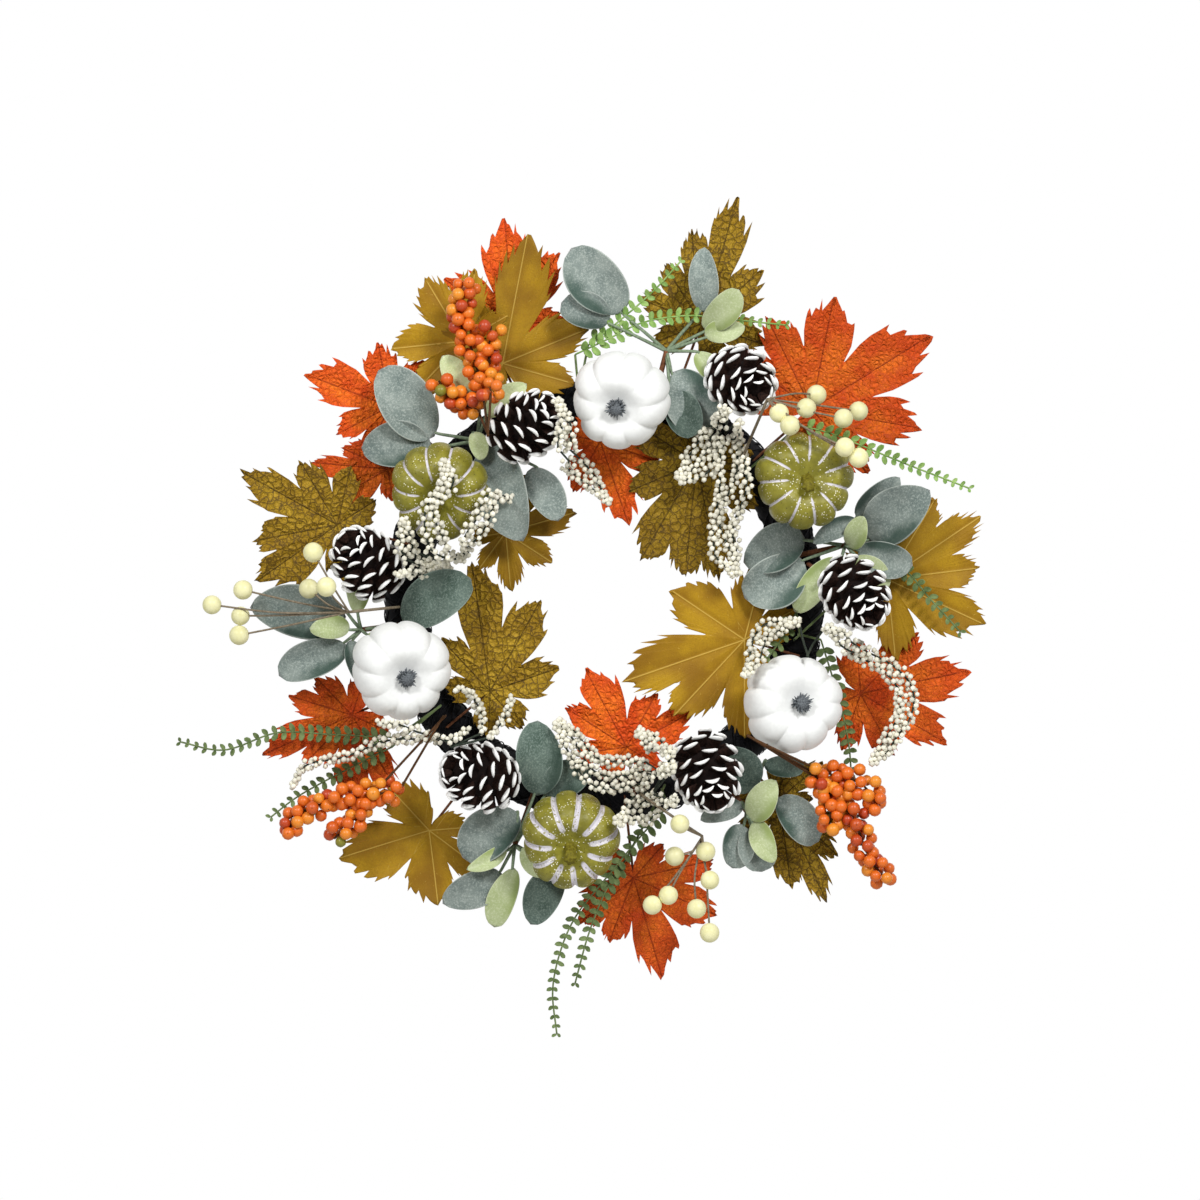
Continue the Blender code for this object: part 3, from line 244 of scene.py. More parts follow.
# round body: name, stalk, centre, radius, and its lean: which way, how far, and its turn about its
# own axis, in degrees
BODIES = [
    ("white_pumpkin_top", (85, 150), (85.1, 150), 36.5, (-117, 22, 5)),
    ("white_pumpkin_left", (-161, 156), (-161.1, 160), 37, (-47, 21, 12)),
    ("white_pumpkin_right", (-29, 156), (-28.8, 160), 37, (8, 15, 0)),
    ("green_pumpkin_upper_left", (146, 144), (146.5, 147), 36.5, (-95, 16, 8)),
    ("green_pumpkin_upper_right", (31, 156), (30.9, 174), 36.5, (0, 3, 20)),
    ("green_pumpkin_bottom", (-98, 156), (-97.9, 180), 36.5, (-90, 15, 14)),
    ("pine_cone_upper_left", (114, 144), (114, 142), 26, (35, 48, 0)),
    ("pine_cone_upper_right", (57, 156), (58, 193), 26, (-40, 30, 40)),
    ("pine_cone_left", (171, 156), (171.1, 179), 26, (130, 42, 80)),
    ("pine_cone_lower_left", (-125, 156), (-125.3, 161), 27, (160, 42, 10)),
    ("pine_cone_right", (10, 156), (1.6, 187), 26, (-55, 42, 60)),
    ("pine_cone_lower_right", (-59, 150), (-59, 149), 27, (-75, 45, 30)),
]


# pale or dark leaves of each lamb's-ear spray, by their order in the table above
PALE_LEAVES = {
    "lambs_ear_spray_upper_left": (4, 5, 6), "lambs_ear_spray_top": (3, 4, 5),
    "lambs_ear_spray_right": (6, 7, 8), "lambs_ear_spray_left": (4, 5, 6),
    "lambs_ear_spray_bottom": (5, 6, 7), "lambs_ear_spray_lower_right": (6, 7),
}
DARK_LEAVES = {"lambs_ear_spray_left": (3,), "lambs_ear_spray_bottom": (0, 1, 4),
               "lambs_ear_spray_lower_right": (0, 1), "lambs_ear_spray_top": (7,)}


# ---------------------------------------------------------------- geometry helpers
def place(angle, reach, depth):
    """Metres in the frame of a place given round the ring in degrees and millimetres."""
    turn = math.radians(angle)
    return MM * np.array([reach * math.cos(turn), -depth, reach * math.sin(turn) - HOOK_TO_CENTRE])


def heading(angle):
    """Unit vector across the wreath."""
    turn = math.radians(angle)
    return np.array([math.cos(turn), 0.0, math.sin(turn)])


def unit(vector):
    """Vectors scaled to length one along their last axis."""
    return vector / np.maximum(np.linalg.norm(vector, axis=-1, keepdims=True), 1e-12)


def layer_depth(layer):
    """Depth in millimetres of a flat leaf layer."""
    return RING_TUBE + FIRST_LAYER_GAP + LAYER_PITCH * layer


def once_round(count):
    """Angles in even steps once round, in radians."""
    return np.linspace(0, 2 * math.pi, count, endpoint=False)


def revolved(reach, turn, rise):
    """Points at a reach from a body's axis, at a turn round it and a rise along it."""
    return np.stack([reach * np.cos(turn), reach * np.sin(turn), np.broadcast_to(rise, reach.shape)], axis=-1)


def shell(points, attributes, material, local=None):
    """A closed skin over a grid of points that wraps along its columns and shrinks to a point at
    both ends: the first and last rows are each replaced by their mean."""
    rows, columns = points.shape[:2]
    middle = points[1:-1].reshape(-1, 3)
    vertices = np.vstack([points[0].mean(0), middle, points[-1].mean(0)])
    index = 1 + np.arange((rows - 2) * columns).reshape(rows - 2, columns)
    after = np.roll(index, -1, axis=1)
    quads = np.stack([index[:-1], after[:-1], after[1:], index[1:]], axis=-1).reshape(-1, 4)
    last = len(vertices) - 1
    start = np.stack([np.zeros(columns, int), after[0], index[0]], axis=-1)
    stop = np.stack([np.full(columns, last), index[-1], after[-1]], axis=-1)
    values = {}
    for key, grid in attributes.items():
        grid = np.broadcast_to(grid, (rows, columns))
        values[key] = np.concatenate([[grid[0].mean()], grid[1:-1].ravel(), [grid[-1].mean()]])
    if local is None:
        flat = np.zeros((len(vertices), 3))
    else:
        flat = np.vstack([local[0].mean(0), local[1:-1].reshape(-1, 3), local[-1].mean(0)])
    return {"v": vertices, "q": quads, "t": np.vstack([start, stop]), "a": values, "m": material, "p": flat}


def smooth_path(points, steps):
    """A Catmull-Rom curve through the points, with the given steps in each span."""
    points = np.asarray(points, float)
    padded = np.vstack([2 * points[0] - points[1], points, 2 * points[-1] - points[-2]])
    share = np.linspace(0, 1, steps, endpoint=False)[:, None]
    spans = []
    for a, b, c, d in zip(padded[:-3], padded[1:-2], padded[2:-1], padded[3:]):
        spans.append(0.5 * (2 * b + (c - a) * share + (2 * a - 5 * b + 4 * c - d) * share ** 2
                            + (3 * b - a - 3 * c + d) * share ** 3))
    return np.vstack(spans + [points[-1:]])


def even_path(path, step):
    """The same curve with its points a fixed distance apart."""
    run = np.concatenate([[0], np.cumsum(np.linalg.norm(np.diff(path, axis=0), axis=1))])
    count = max(3, int(run[-1] / step) + 1)
    want = np.linspace(0, run[-1], count)
    return np.stack([np.interp(want, run, path[:, axis]) for axis in range(3)], axis=1)


def frames(path):
    """Along, side and up directions at every point of a curve."""
    along = unit(np.gradient(path, axis=0))
    side = unit(np.cross(along, np.array([0.13, -0.97, 0.21])))
    return along, side, np.cross(side, along)


def stem(path, radius, material, sides=6, tint=0.5):
    """A round wire: circles of the given radius set square to a curve, closed at both ends."""
    _, side, up = frames(path)
    turn = once_round(sides)
    radius = np.broadcast_to(np.asarray(radius, float), (len(path),))
    rim = path[:, None] + radius[:, None, None] * (side[:, None] * np.cos(turn)[None, :, None]
                                                    + up[:, None] * np.sin(turn)[None, :, None])
    points = np.concatenate([np.repeat(path[:1, None], sides, 1), rim, np.repeat(path[-1:, None], sides, 1)])
    return shell(points, {"tint": tint}, material)


def ball_template(detail):
    """Points and triangles of a round ball of radius one."""
    data = bmesh.new()
    bmesh.ops.create_icosphere(data, subdivisions=detail, radius=1.0)
    vertices = np.array([vertex.co for vertex in data.verts])
    triangles = np.array([[vertex.index for vertex in face.verts] for face in data.faces])
    data.free()
    return vertices, triangles


BALLS = {detail: ball_template(detail) for detail in (1, 2, 3)}


def berries(centres, radii, tints, material, detail, ends=None):
    """One ball of the given radius at each centre; mark is 1 at the end that ends points to."""
    vertices, triangles = BALLS[detail]
    count = len(centres)
    points = centres[:, None] + vertices[None] * np.asarray(radii)[:, None, None]
    faces = triangles[None] + (np.arange(count) * len(vertices))[:, None, None]
    if ends is None:
        ends = np.tile(FORWARD, (count, 1))
    mark = np.einsum("nk,mk->nm", ends, vertices)
    return {"v": points.reshape(-1, 3), "q": np.zeros((0, 4), int), "t": faces.reshape(-1, 3),
            "a": {"tint": np.repeat(tints, len(vertices)), "mark": mark.ravel()}, "m": material,
            "p": np.zeros((count * len(vertices), 3))}


def make(node, parts):
    """One finished mesh object from its parts, standing for its CAD node and moving with it."""
    names = sorted({part["m"] for part in parts})
    starts = np.cumsum([0] + [len(part["v"]) for part in parts])
    corners, totals, kinds = [], [], []
    for part, start in zip(parts, starts):
        for faces in (part["q"], part["t"]):
            corners.append((faces + start).ravel())
            totals.append(np.full(len(faces), faces.shape[1]))
            kinds.append(np.full(len(faces), names.index(part["m"])))
    corners, totals, kinds = np.concatenate(corners), np.concatenate(totals), np.concatenate(kinds)
    mesh = bpy.data.meshes.new(node + "_finished")
    mesh.vertices.add(starts[-1])
    mesh.vertices.foreach_set("co", np.concatenate([part["v"] for part in parts]).ravel())
    mesh.loops.add(len(corners))
    mesh.loops.foreach_set("vertex_index", corners.astype(np.int32))
    mesh.polygons.add(len(totals))
    mesh.polygons.foreach_set("loop_start", np.concatenate([[0], np.cumsum(totals)[:-1]]).astype(np.int32))
    mesh.polygons.foreach_set("material_index", kinds.astype(np.int32))
    mesh.polygons.foreach_set("use_smooth", np.ones(len(totals), bool))
    for key in ("tint", "edge", "vein", "rib", "mark"):
        if any(key in part["a"] for part in parts):
            values = [np.broadcast_to(part["a"].get(key, 0.0), (len(part["v"]),)) for part in parts]
            carried = mesh.attributes.new(key, "FLOAT", "POINT")
            carried.data.foreach_set("value", np.concatenate(values).astype(np.float32))
    flat = np.concatenate([part["p"] for part in parts]).astype(np.float32)
    mesh.attributes.new("local", "FLOAT_VECTOR", "POINT").data.foreach_set("vector", flat.ravel())
    mesh.update(calc_edges=True)
    mesh.validate()
    for key in names:
        mesh.materials.append(MATERIALS[key])
    obj = bpy.data.objects.new(node + "_finished", mesh)
    bpy.context.scene.collection.objects.link(obj)
    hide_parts(node)
    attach(obj, BODY_OF[node])


# ---------------------------------------------------------------- materials
PER_MM = 1000.0
SMOOTH = {"interpolation_type": "SMOOTHSTEP"}


def linear(hexes):
    """Screen colour written as hex, as linear red, green, blue and alpha."""
    parts = [int(hexes[step:step + 2], 16) / 255 for step in (1, 3, 5)]
    return [part / 12.92 if part <= 0.04045 else ((part + 0.055) / 1.055) ** 2.4 for part in parts] + [1.0]


def add_node(tree, kind, *inputs, output=0, **named):
    """Add one shader node. Its inputs are fed in order or by name with a socket, a number or a hex
    colour; any other name is one of its settings. Gives back the output asked for."""
    node = tree.nodes.new("ShaderNode" + kind)
    feeds = list(zip(node.inputs, inputs))
    for key, value in named.items():
        if key in node.inputs:
            feeds.append((node.inputs[key], value))
        else:
            setattr(node, key, value)
    for socket, value in feeds:
        if isinstance(value, bpy.types.NodeSocket):
            tree.links.new(value, socket)
        else:
            socket.default_value = linear(value) if isinstance(value, str) else value
    return node.outputs[output]


def surface(name, *keys):
    """A new material, its shader, its own add_node, its coordinates, and the values that the mesh
    carries under the keys."""
    material = bpy.data.materials.new(name)
    material.use_nodes = True
    add = functools.partial(add_node, material.node_tree)
    carried = [add("Attribute", output="Fac", attribute_name=key) for key in keys]
    shader = material.node_tree.nodes["Principled BSDF"]
    return material, shader, add, add("TexCoord", output="Object"), *carried


def laid_over(add, under, over, value, low, high, start=0.0, end=1.0):
    """One colour over another: its share eases from start to end as the value runs from low to high."""
    return add("MixRGB", add("MapRange", value, low, high, start, end, **SMOOTH), under, over)


def shaded(add, colour, tint, spread):
    """The colour made darker or lighter by up to the spread, by the tint of the piece."""
    return add("HueSaturation", Value=add("MapRange", tint, 0.0, 1.0, 1 - spread, 1 + spread, **SMOOTH),
               Color=colour)


def finish_surface(shader, colour, roughness, height=None, relief_mm=0.3, sheen=0.0, coat=0.0, shine=0.12):
    """Give the shader its colour, its gloss, and a bump whose full height is relief_mm."""
    tree = shader.id_data
    if isinstance(colour, str):
        shader.inputs["Base Color"].default_value = linear(colour)
    else:
        tree.links.new(colour, shader.inputs["Base Color"])
    for key, value in (("Roughness", roughness), ("Specular IOR Level", shine), ("Sheen Weight", sheen),
                       ("Sheen Roughness", 0.5), ("Coat Weight", coat), ("Coat Roughness", 0.25)):
        shader.inputs[key].default_value = value
    if height is not None:
        bump = add_node(tree, "Bump", Strength=1.0, Distance=relief_mm * MM, Height=height)
        tree.links.new(bump, shader.inputs["Normal"])


def pressed_fabric(name, ground, rim, vein_and_crease_shade, cell_mm, crease_shade_strength, crease_shade_width):
    """Polyester leaf fabric stamped hot in a mould: puffed cells between creases darkened with painted shade,
    with veins that sink along every lobe. Ground is the face, rim the scorched edge, and the third colour is
    laid darker along the veins and, as painted shade, into the creases between the cells."""
    material, shader, add, where, edge, vein, rib, tint = surface(name, "edge", "vein", "rib", "tint")
    flat = add("Attribute", output="Vector", attribute_name="local")
    wander = add("TexNoise", output="Color", Vector=flat, Scale=150.0, Detail=3.0)
    bent = add("VectorMath", wander, (7 * MM, 7 * MM, 7 * MM), flat, operation="MULTIPLY_ADD")
    cells = {"Vector": bent, "feature": "DISTANCE_TO_EDGE", "Randomness": 0.9}
    puff = add("TexVoronoi", Scale=PER_MM / cell_mm, **cells)
    wrinkle_shade = add("TexVoronoi", Scale=PER_MM / (cell_mm * 0.42), **cells)
    cloud = add("TexNoise", Vector=flat, Scale=PER_MM / 22, Detail=3.0)
    colour = laid_over(add, ground, rim, cloud, 0.35, 0.7)
    colour = laid_over(add, colour, rim, edge, 0.55, 1.0, 0.0, 0.75)
    # painted shade: the darker colour fills the creases between the puffed cells, where the bump sinks
    colour = laid_over(add, colour, vein_and_crease_shade, puff, 0.0, crease_shade_width, crease_shade_strength, 0.0)
    colour = laid_over(add, colour, vein_and_crease_shade, vein, 0.1, 0.9, 0.7, 0.0)
    colour = laid_over(add, colour, vein_and_crease_shade, rib, 0.1, 0.6, 0.35, 0.0)
    # painted shade in finer creases between smaller cells, which have no bump of their own
    colour = laid_over(add, colour, vein_and_crease_shade, wrinkle_shade, 0.03, 0.12, crease_shade_strength * 0.45, 0.0)
    weave = add("Math", add("TexNoise", Vector=where, Scale=PER_MM / 0.9, Detail=2.0), 0.12,
                operation="MULTIPLY")
    height = add("Math", add("MapRange", puff, 0.0, 0.4, 0.0, 1.0, **SMOOTH), weave, operation="ADD")
    sunk = add("MapRange", vein, 0.1, 0.9, 0.56, 0.0, **SMOOTH)
    height = add("Math", height, sunk, operation="SUBTRACT")
    finish_surface(shader, shaded(add, colour, tint, 0.28), 0.55, height, 1.3)
    return material


def printed_fabric(name, ground, rim, print_colour):
    """Smooth woven leaf fabric with fine pale printed veins and a faint weave."""
    material, shader, add, where, vein, rib, tint = surface(name, "vein", "rib", "tint")
    flat = add("Attribute", output="Vector", attribute_name="local")
    cloud = add("TexNoise", Vector=flat, Scale=PER_MM / 30, Detail=3.0)
    thread = add("TexNoise", Vector=flat, Scale=PER_MM / 1.3, Detail=2.0)
    colour = laid_over(add, ground, rim, cloud, 0.3, 0.7)
    colour = laid_over(add, colour, rim, thread, 0.35, 0.75, 0.0, 0.35)
    colour = laid_over(add, colour, rim, vein, 0.5, 6.0, 0.45, 0.0)
    colour = laid_over(add, colour, print_colour, vein, 0.2, 0.6, 0.8, 0.0)
    colour = laid_over(add, colour, print_colour, rib, 0.1, 0.5, 0.6, 0.0)
    weave = add("TexNoise", Vector=where, Scale=PER_MM / 0.8, Detail=2.0)
    height = add("Math", weave, add("MapRange", vein, 0.0, 1.4, 0.0, 1.5, **SMOOTH), operation="ADD")
    finish_surface(shader, shaded(add, colour, tint, 0.25), 0.5, height, 0.25)
    return material


def flocked(name, ground, rim, middle, under):
    """Flock blown on to fabric: a chalky mottled face that pales at the rim and down the middle, and
    turns deep green on one half, as painted shade of a leaf folded along its middle."""
    material, shader, add, where, edge, vein, mark, tint = surface(name, "edge", "vein", "mark", "tint")
    speck = add("TexNoise", Vector=where, Scale=PER_MM / 1.5, Detail=4.0, Roughness=0.8)
    patch = add("TexNoise", Vector=where, Scale=PER_MM / 14, Detail=3.0)
    shade_wander = add("Math", add("TexNoise", Vector=where, Scale=PER_MM / 9, Detail=3.0), 0.5, operation="MULTIPLY")
    colour = laid_over(add, ground, rim, speck, 0.45, 0.66, 0.0, 0.6)
    colour = laid_over(add, colour, rim, patch, 0.3, 0.7, 0.0, 0.3)
    # painted shade: on the half that the mark picks, wandering with noise, the face turns to the deep green
    # under colour
    colour = laid_over(add, colour, under, add("Math", mark, shade_wander, operation="ADD"), 0.35, 0.85, 0.0, 0.88)
    colour = laid_over(add, colour, rim, edge, 0.92, 1.0, 0.0, 0.85)
    colour = laid_over(add, colour, middle, vein, 0.3, 1.2, 0.4, 0.0)
    fuzz = add("TexNoise", Vector=where, Scale=PER_MM / 0.7, Detail=3.0)
    finish_surface(shader, shaded(add, colour, tint, 0.2), 0.9, fuzz, 0.25, sheen=0.35)
    return material


def plain(name, ground, other, roughness, size_mm=2.0, relief_mm=0.1, sheen=0.0, coat=0.0, dip=None,
          spread=0.2):
    """A mottled surface of two near colours, tinted by each piece's own value. A dip is a painted
    colour where the piece's mark passes from one value to another."""
    material, shader, add, where, mark, tint = surface(name, "mark", "tint")
    grain = add("TexNoise", Vector=where, Scale=PER_MM / size_mm, Detail=3.0)
    colour = laid_over(add, ground, other, grain, 0.3, 0.7)
    if dip:
        colour = laid_over(add, colour, dip[0], mark, *dip[1:])
    finish_surface(shader, shaded(add, colour, tint, spread), roughness, grain, relief_mm, sheen, coat)
    return material


def berry_paint(name):
    """Glossy dipped berries: mostly orange, some red, a few olive, by each berry's own value."""
    material, shader, add, where, mark, tint = surface(name, "mark", "tint")
    colour = laid_over(add, "#B03C12", "#D8681A", tint, 0.05, 0.3)
    colour = laid_over(add, colour, "#E08A26", tint, 0.6, 0.85)
    colour = laid_over(add, colour, "#7E7A26", tint, 0.94, 0.96)
    colour = laid_over(add, colour, "#3A2416", mark, 0.955, 0.985)
    skin = add("TexNoise", Vector=where, Scale=PER_MM / 2, Detail=3.0)
    finish_surface(shader, colour, 0.35, skin, 0.08, 0.0, 0.1, 0.35)
    return material


def glitter_pumpkin(name):
    """Olive foam washed with silver paint in the grooves, with white glitter flecks and dark specks."""
    material, shader, add, where, mark = surface(name, "mark")
    colour = laid_over(add, "#716C1C", "#8C862C", add("TexNoise", Vector=where, Scale=PER_MM / 9, Detail=3.0),
                       0.3, 0.7)
    worn = add("TexNoise", Vector=where, Scale=PER_MM / 2.6, Detail=4.0)
    silver = add("Math", add("MapRange", mark, 0.3, 0.7, 0.0, 1.0, **SMOOTH),
                 add("MapRange", worn, 0.3, 0.45, 0.0, 1.0, **SMOOTH), operation="MULTIPLY")
    colour = add("MixRGB", silver, colour, "#CDC9D0")
    strewn = add("TexNoise", Vector=where, Scale=PER_MM / 11, Detail=3.0)
    fleck = add("TexVoronoi", Vector=where, Scale=PER_MM / 2.1, Randomness=0.9)
    glitter = add("Math", add("MapRange", fleck, 0.16, 0.26, 1.0, 0.0, **SMOOTH),
                  add("MapRange", strewn, 0.42, 0.55, 0.0, 1.0, **SMOOTH), operation="MULTIPLY")
    colour = add("MixRGB", glitter, colour, "#F2EFD8")
    speck = add("TexVoronoi", Vector=where, Scale=PER_MM / 3.1, Randomness=0.9)
    colour = laid_over(add, colour, "#2C2410", speck, 0.10, 0.16, 0.9, 0.0)
    foam = add("TexNoise", Vector=where, Scale=PER_MM / 1.6, Detail=3.0)
    finish_surface(shader, colour, 0.42, foam, 0.35, shine=0.35)
    return material


MATERIALS = {
    # hot red-orange with dark red veins and dark red painted shade in its creases
    "orange": pressed_fabric("stamped_orange_polyester", "#F27822", "#DA501A", "#8C2A0E", 4.2, 0.5, 0.12),
    # old gold with brown veins and brown painted shade in its crackle of creases
    "gold": pressed_fabric("stamped_gold_polyester", "#AD8C28", "#8C6C1A", "#3E2C0C", 5.6, 0.85, 0.11),
    # brighter mustard gold with pale printed veins
    "mustard": printed_fabric("printed_mustard_fabric", "#A6811A", "#805C14", "#BC9C48"),
    # the last colour of each flocked leaf is the deep green of its painted shade on one half
    # dusty blue-grey leaf
    "ear": flocked("blue_grey_flocked_fabric", "#66736F", "#B4BCB4", "#9CA7A2", "#2E463C"),
    # deeper sea-green leaf
    "ear_dark": flocked("sea_green_flocked_fabric", "#42544B", "#8A9A90", "#7A8A80", "#2C4036"),
    # young yellow-green leaf
    "ear_pale": flocked("pale_green_flocked_fabric", "#A6B380", "#CFD6B2", "#CDD5B4", "#8C9C5C"),
    # soft grey-green stalk of the flocked leaves
    "ear_stem": plain("flocked_green_stem", "#8A9A80", "#6F7F68", 0.85),
    # dull brown stem with the slight ridges of its paper wrap
    "brown": plain("brown_paper_wrapped_wire", "#7E5238", "#5A3726", 0.8, 3.0, 0.4),
    # fresh green leaflets with a faint moulded gloss
    "fern": plain("moulded_fern_polyethylene", "#6F9448", "#93B067", 0.55, 5.0, 0.1, 0.1),
    # the same leaflets in a greyer olive
    "olive_fern": plain("moulded_olive_polyethylene", "#52643A", "#728354", 0.6, 5.0, 0.1, 0.1),
    # chalk-white sprayed foam
    "white": plain("sprayed_white_foam", "#ECEDEB", "#E7E8E6", 0.75, 3.0, 0.06),
    # rough charcoal stub
    "bristle": plain("charcoal_flocked_stem", "#7A7F83", "#4A4E52", 0.95, 0.8, 0.4),
    # olive skin with silver grooves and glitter
    "olive": glitter_pumpkin("glittered_olive_foam"),
    # darker brushed olive on the moulded stem
    "olive_stem": plain("painted_olive_stem", "#7C7424", "#5A5216", 0.6, 2.0, 0.5),
    # near-black scales dipped in white at the lip
    "scale": plain("dipped_pine_scale", "#33211B", "#140C0A", 0.8, 1.5, 0.3, dip=("#F6F6F4", 0.80, 0.85),
                   spread=0.15),
    # the near-black core, darker than the scales: painted shade that shows between the scales
    "core": plain("cone_core_painted_shade", "#1C1210", "#100B0A", 0.9),
    # matt ivory beads
    "small_berry": plain("dipped_ivory_berry", "#E9E6D8", "#DCD8C4", 0.5, 3.0, 0.05),
    "small_wire": plain("dark_green_wire", "#3E463C", "#2A302A", 0.7),
    # glossy orange with a highlight on each berry
    "orange_berry": berry_paint("dipped_orange_berry"),
    "orange_wire": plain("brown_wire", "#5A3A22", "#44301E", 0.7),
    # pale butter berry with a small dark calyx
    "cream_berry": plain("dipped_cream_berry", "#E6E2B4", "#DCD8A2", 0.42, 6.0, 0.04, coat=0.2,
                         dip=("#6A5A30", 0.985, 0.995), spread=0.15),
    "cream_wire": plain("grey_brown_paper_wire", "#8B7F6C", "#6E6250", 0.8),
    # black winding with a dull sheen along its strands
    "fibre": plain("wound_black_fibre", "#17171B", "#09090B", 0.7, 2.0, 0.2),
    # bright drawn rod, hidden in the winding
    "steel": plain("drawn_steel_wire", "#8A8C90", "#74767A", 0.4, 2.0, 0.05),
}


# ---------------------------------------------------------------- leaves
def with_basal_lobes(lobes, centre, stalk):
    """Add the short lobes that a leaf carries on each side of its stem wherever the listed lobes
    leave a gap wider than a lobe and its two notches."""
    to_stem = place(*stalk, 0) - place(*centre, 0)
    stem_way = math.degrees(math.atan2(to_stem[2], to_stem[0]))
    if np.linalg.norm(to_stem) < 8 * MM:
        order, gap = lobe_order(lobes)
        stem_way = order[0][0] - gap / 2
    mean = sum(length for _, length in lobes) / len(lobes)
    lobes = list(lobes)
    for side in (-1, 1):
        for away, share in ((48, 0.55), (92, 0.72), (136, 0.8)):
            turn = stem_way + side * away
            clear = min(abs((turn - other + 180) % 360 - 180) for other, _ in lobes)
            if clear > 34:
                lobes.append(((turn + 180) % 360 - 180, mean * share))
    return lobes


def lobe_order(lobes):
    """The lobes in turning order from one side of the stem round to the other, and the stem gap."""
    lobes = sorted(lobes)
    count = len(lobes)
    gaps = [((lobes[(index + 1) % count][0] - lobes[index][0]) % 360, index) for index in range(count)]
    stem_gap, last = max(gaps)
    order = [lobes[(last + 1 + step) % count] for step in range(count)]
    start = order[0][0]
    return [((turn - start) % 360 + start, length) for turn, length in order], stem_gap


# share of the half angle between lobes, and share of the way from notch to tip, up one side of a lobe
LEAF_CLIMBS = {
    "maple": ([(0.97, 0.06), (0.91, 0.30), (0.82, 0.46), (0.73, 0.60), (0.66, 0.71), (0.61, 0.58),
               (0.48, 0.66), (0.37, 0.78), (0.31, 0.86), (0.27, 0.75), (0.13, 0.90), (0.06, 0.96)], 0.46),
    "grape": ([(0.97, 0.04), (0.92, 0.18), (0.87, 0.40), (0.83, 0.50), (0.795, 0.40), (0.72, 0.56),
               (0.66, 0.69), (0.62, 0.56), (0.52, 0.70), (0.46, 0.82), (0.42, 0.68), (0.33, 0.81),
               (0.28, 0.90), (0.245, 0.78), (0.15, 0.88), (0.06, 0.97)], 0.44),
}


def notch_share(notch, half_angle):
    """How deep a notch cuts: its full depth between lobes fifty degrees apart, hardly at all between
    lobes fifteen degrees apart."""
    return notch + (0.88 - notch) * min(max((25.0 - half_angle) / 17.0, 0.0), 1.0)


def leaf_rim(order, stem_gap, family, rng):
    """Outline as turning angles and reaches: each lobe climbs from its notch over its side teeth to
    a point and down again; grape leaves carry more, smaller teeth on fuller lobes."""
    climb, notch = LEAF_CLIMBS[family]
    angles = [order[0][0] - stem_gap / 2, order[0][0] - min(stem_gap / 2.4, 62)]
    reaches = [0.10 * order[0][1], 0.36 * order[0][1]]
    for index, (turn, length) in enumerate(order):
        before = (turn - order[index - 1][0]) / 2 if index else min(stem_gap / 2.6, 50)
        after = (order[index + 1][0] - turn) / 2 if index < len(order) - 1 else min(stem_gap / 2.6, 50)
        low = notch_share(notch, before) * (min(length, order[index - 1][1]) if index else length * 0.8)
        high = notch_share(notch, after) * (min(length, order[index + 1][1]) if index < len(order) - 1
                                            else length * 0.8)
        for share, reach in climb:
            wobble = 1 + rng.uniform(-0.045, 0.045)
            angles.append(turn - before * share)
            reaches.append((low + (length - low) * reach) * wobble)
        angles.append(turn)
        reaches.append(length)
        for share, reach in reversed(climb):
            wobble = 1 + rng.uniform(-0.045, 0.045)
            angles.append(turn + after * share)
            reaches.append((high + (length - high) * reach) * wobble)
        if index < len(order) - 1:
            angles.append(turn + after)
            reaches.append(high)
    angles += [order[-1][0] + min(stem_gap / 2.4, 62), order[-1][0] + stem_gap / 2]
    reaches += [0.36 * order[-1][1], 0.10 * order[0][1]]
    return np.array(angles), np.array(reaches)


def leaf_blade(centre, stalk, lobes, family, depth, tip_lift, material, rng):
    """Polar grid about the vein centre: reach times the outline's length at that angle. Its height
    is a fold that sinks along each vein, a slope towards the tips, a slow wave and a rim flutter."""
    order, stem_gap = lobe_order(with_basal_lobes(lobes, centre, stalk))
    angles, reaches = leaf_rim(order, stem_gap, family, rng)
    fine = np.unique(np.concatenate([np.linspace(angles[0], angles[-1], 260, endpoint=False), angles[:-1]]))
    length = np.interp(fine, angles, reaches)
    front = np.linspace(0, 1, 25) ** 0.85
    back = np.linspace(1, 0, 7)
    share = np.concatenate([front, back])[:, None]
    turn = np.radians(fine)[None]
    across = share * length[None] * np.cos(turn)
    along = share * length[None] * np.sin(turn)
    vein = np.full(across.shape, 1e3)
    run = np.zeros(across.shape)
    off = np.zeros(across.shape)
    for angle, reach in order:
        way = math.radians(angle)
        forward = across * math.cos(way) + along * math.sin(way)
        aside = np.abs(-across * math.sin(way) + along * math.cos(way))
        gap = np.where(forward > 0, aside, np.hypot(across, along)) + np.where(forward > reach, 9.0, 0.0)
        nearer = gap < vein
        run = np.where(nearer, forward, run)
        off = np.where(nearer, aside, off)
        vein = np.minimum(vein, gap)
    distance = np.hypot(across, along)
    biggest = max(reach for _, reach in order)
    phase = rng.uniform(0, 6.28, 4)
    fold = (3.2 if family == "maple" else 2.0) * (1 - np.exp(-vein / 8.0))
    wave = 2.6 * np.sin(across / 27 + phase[0]) * np.cos(along / 24 + phase[1]) * (distance / biggest)
    flutter = 1.3 * np.sin(turn * 9 + phase[2]) * share ** 4
    height = fold + wave + flutter + tip_lift * (distance / biggest) ** 2
    ribs = np.abs(np.mod((run - 0.85 * off) / 9.0, 1.0) - 0.5) * 9.0
    rib = np.where(off > 0.8, ribs, 9.0)
    thick = np.concatenate([np.full(25, 0.35), np.full(7, -0.35)])[:, None]
    middle = place(*centre, depth)
    points = np.stack([across, -(height + thick), along], axis=-1) * MM + middle
    local = np.stack([across, along, np.zeros_like(across)], axis=-1) * MM + rng.uniform(-1, 1, 3)
    values = {"edge": share, "vein": vein, "rib": rib, "tint": rng.uniform(0.3, 0.7)}
    return shell(points, values, material, local)


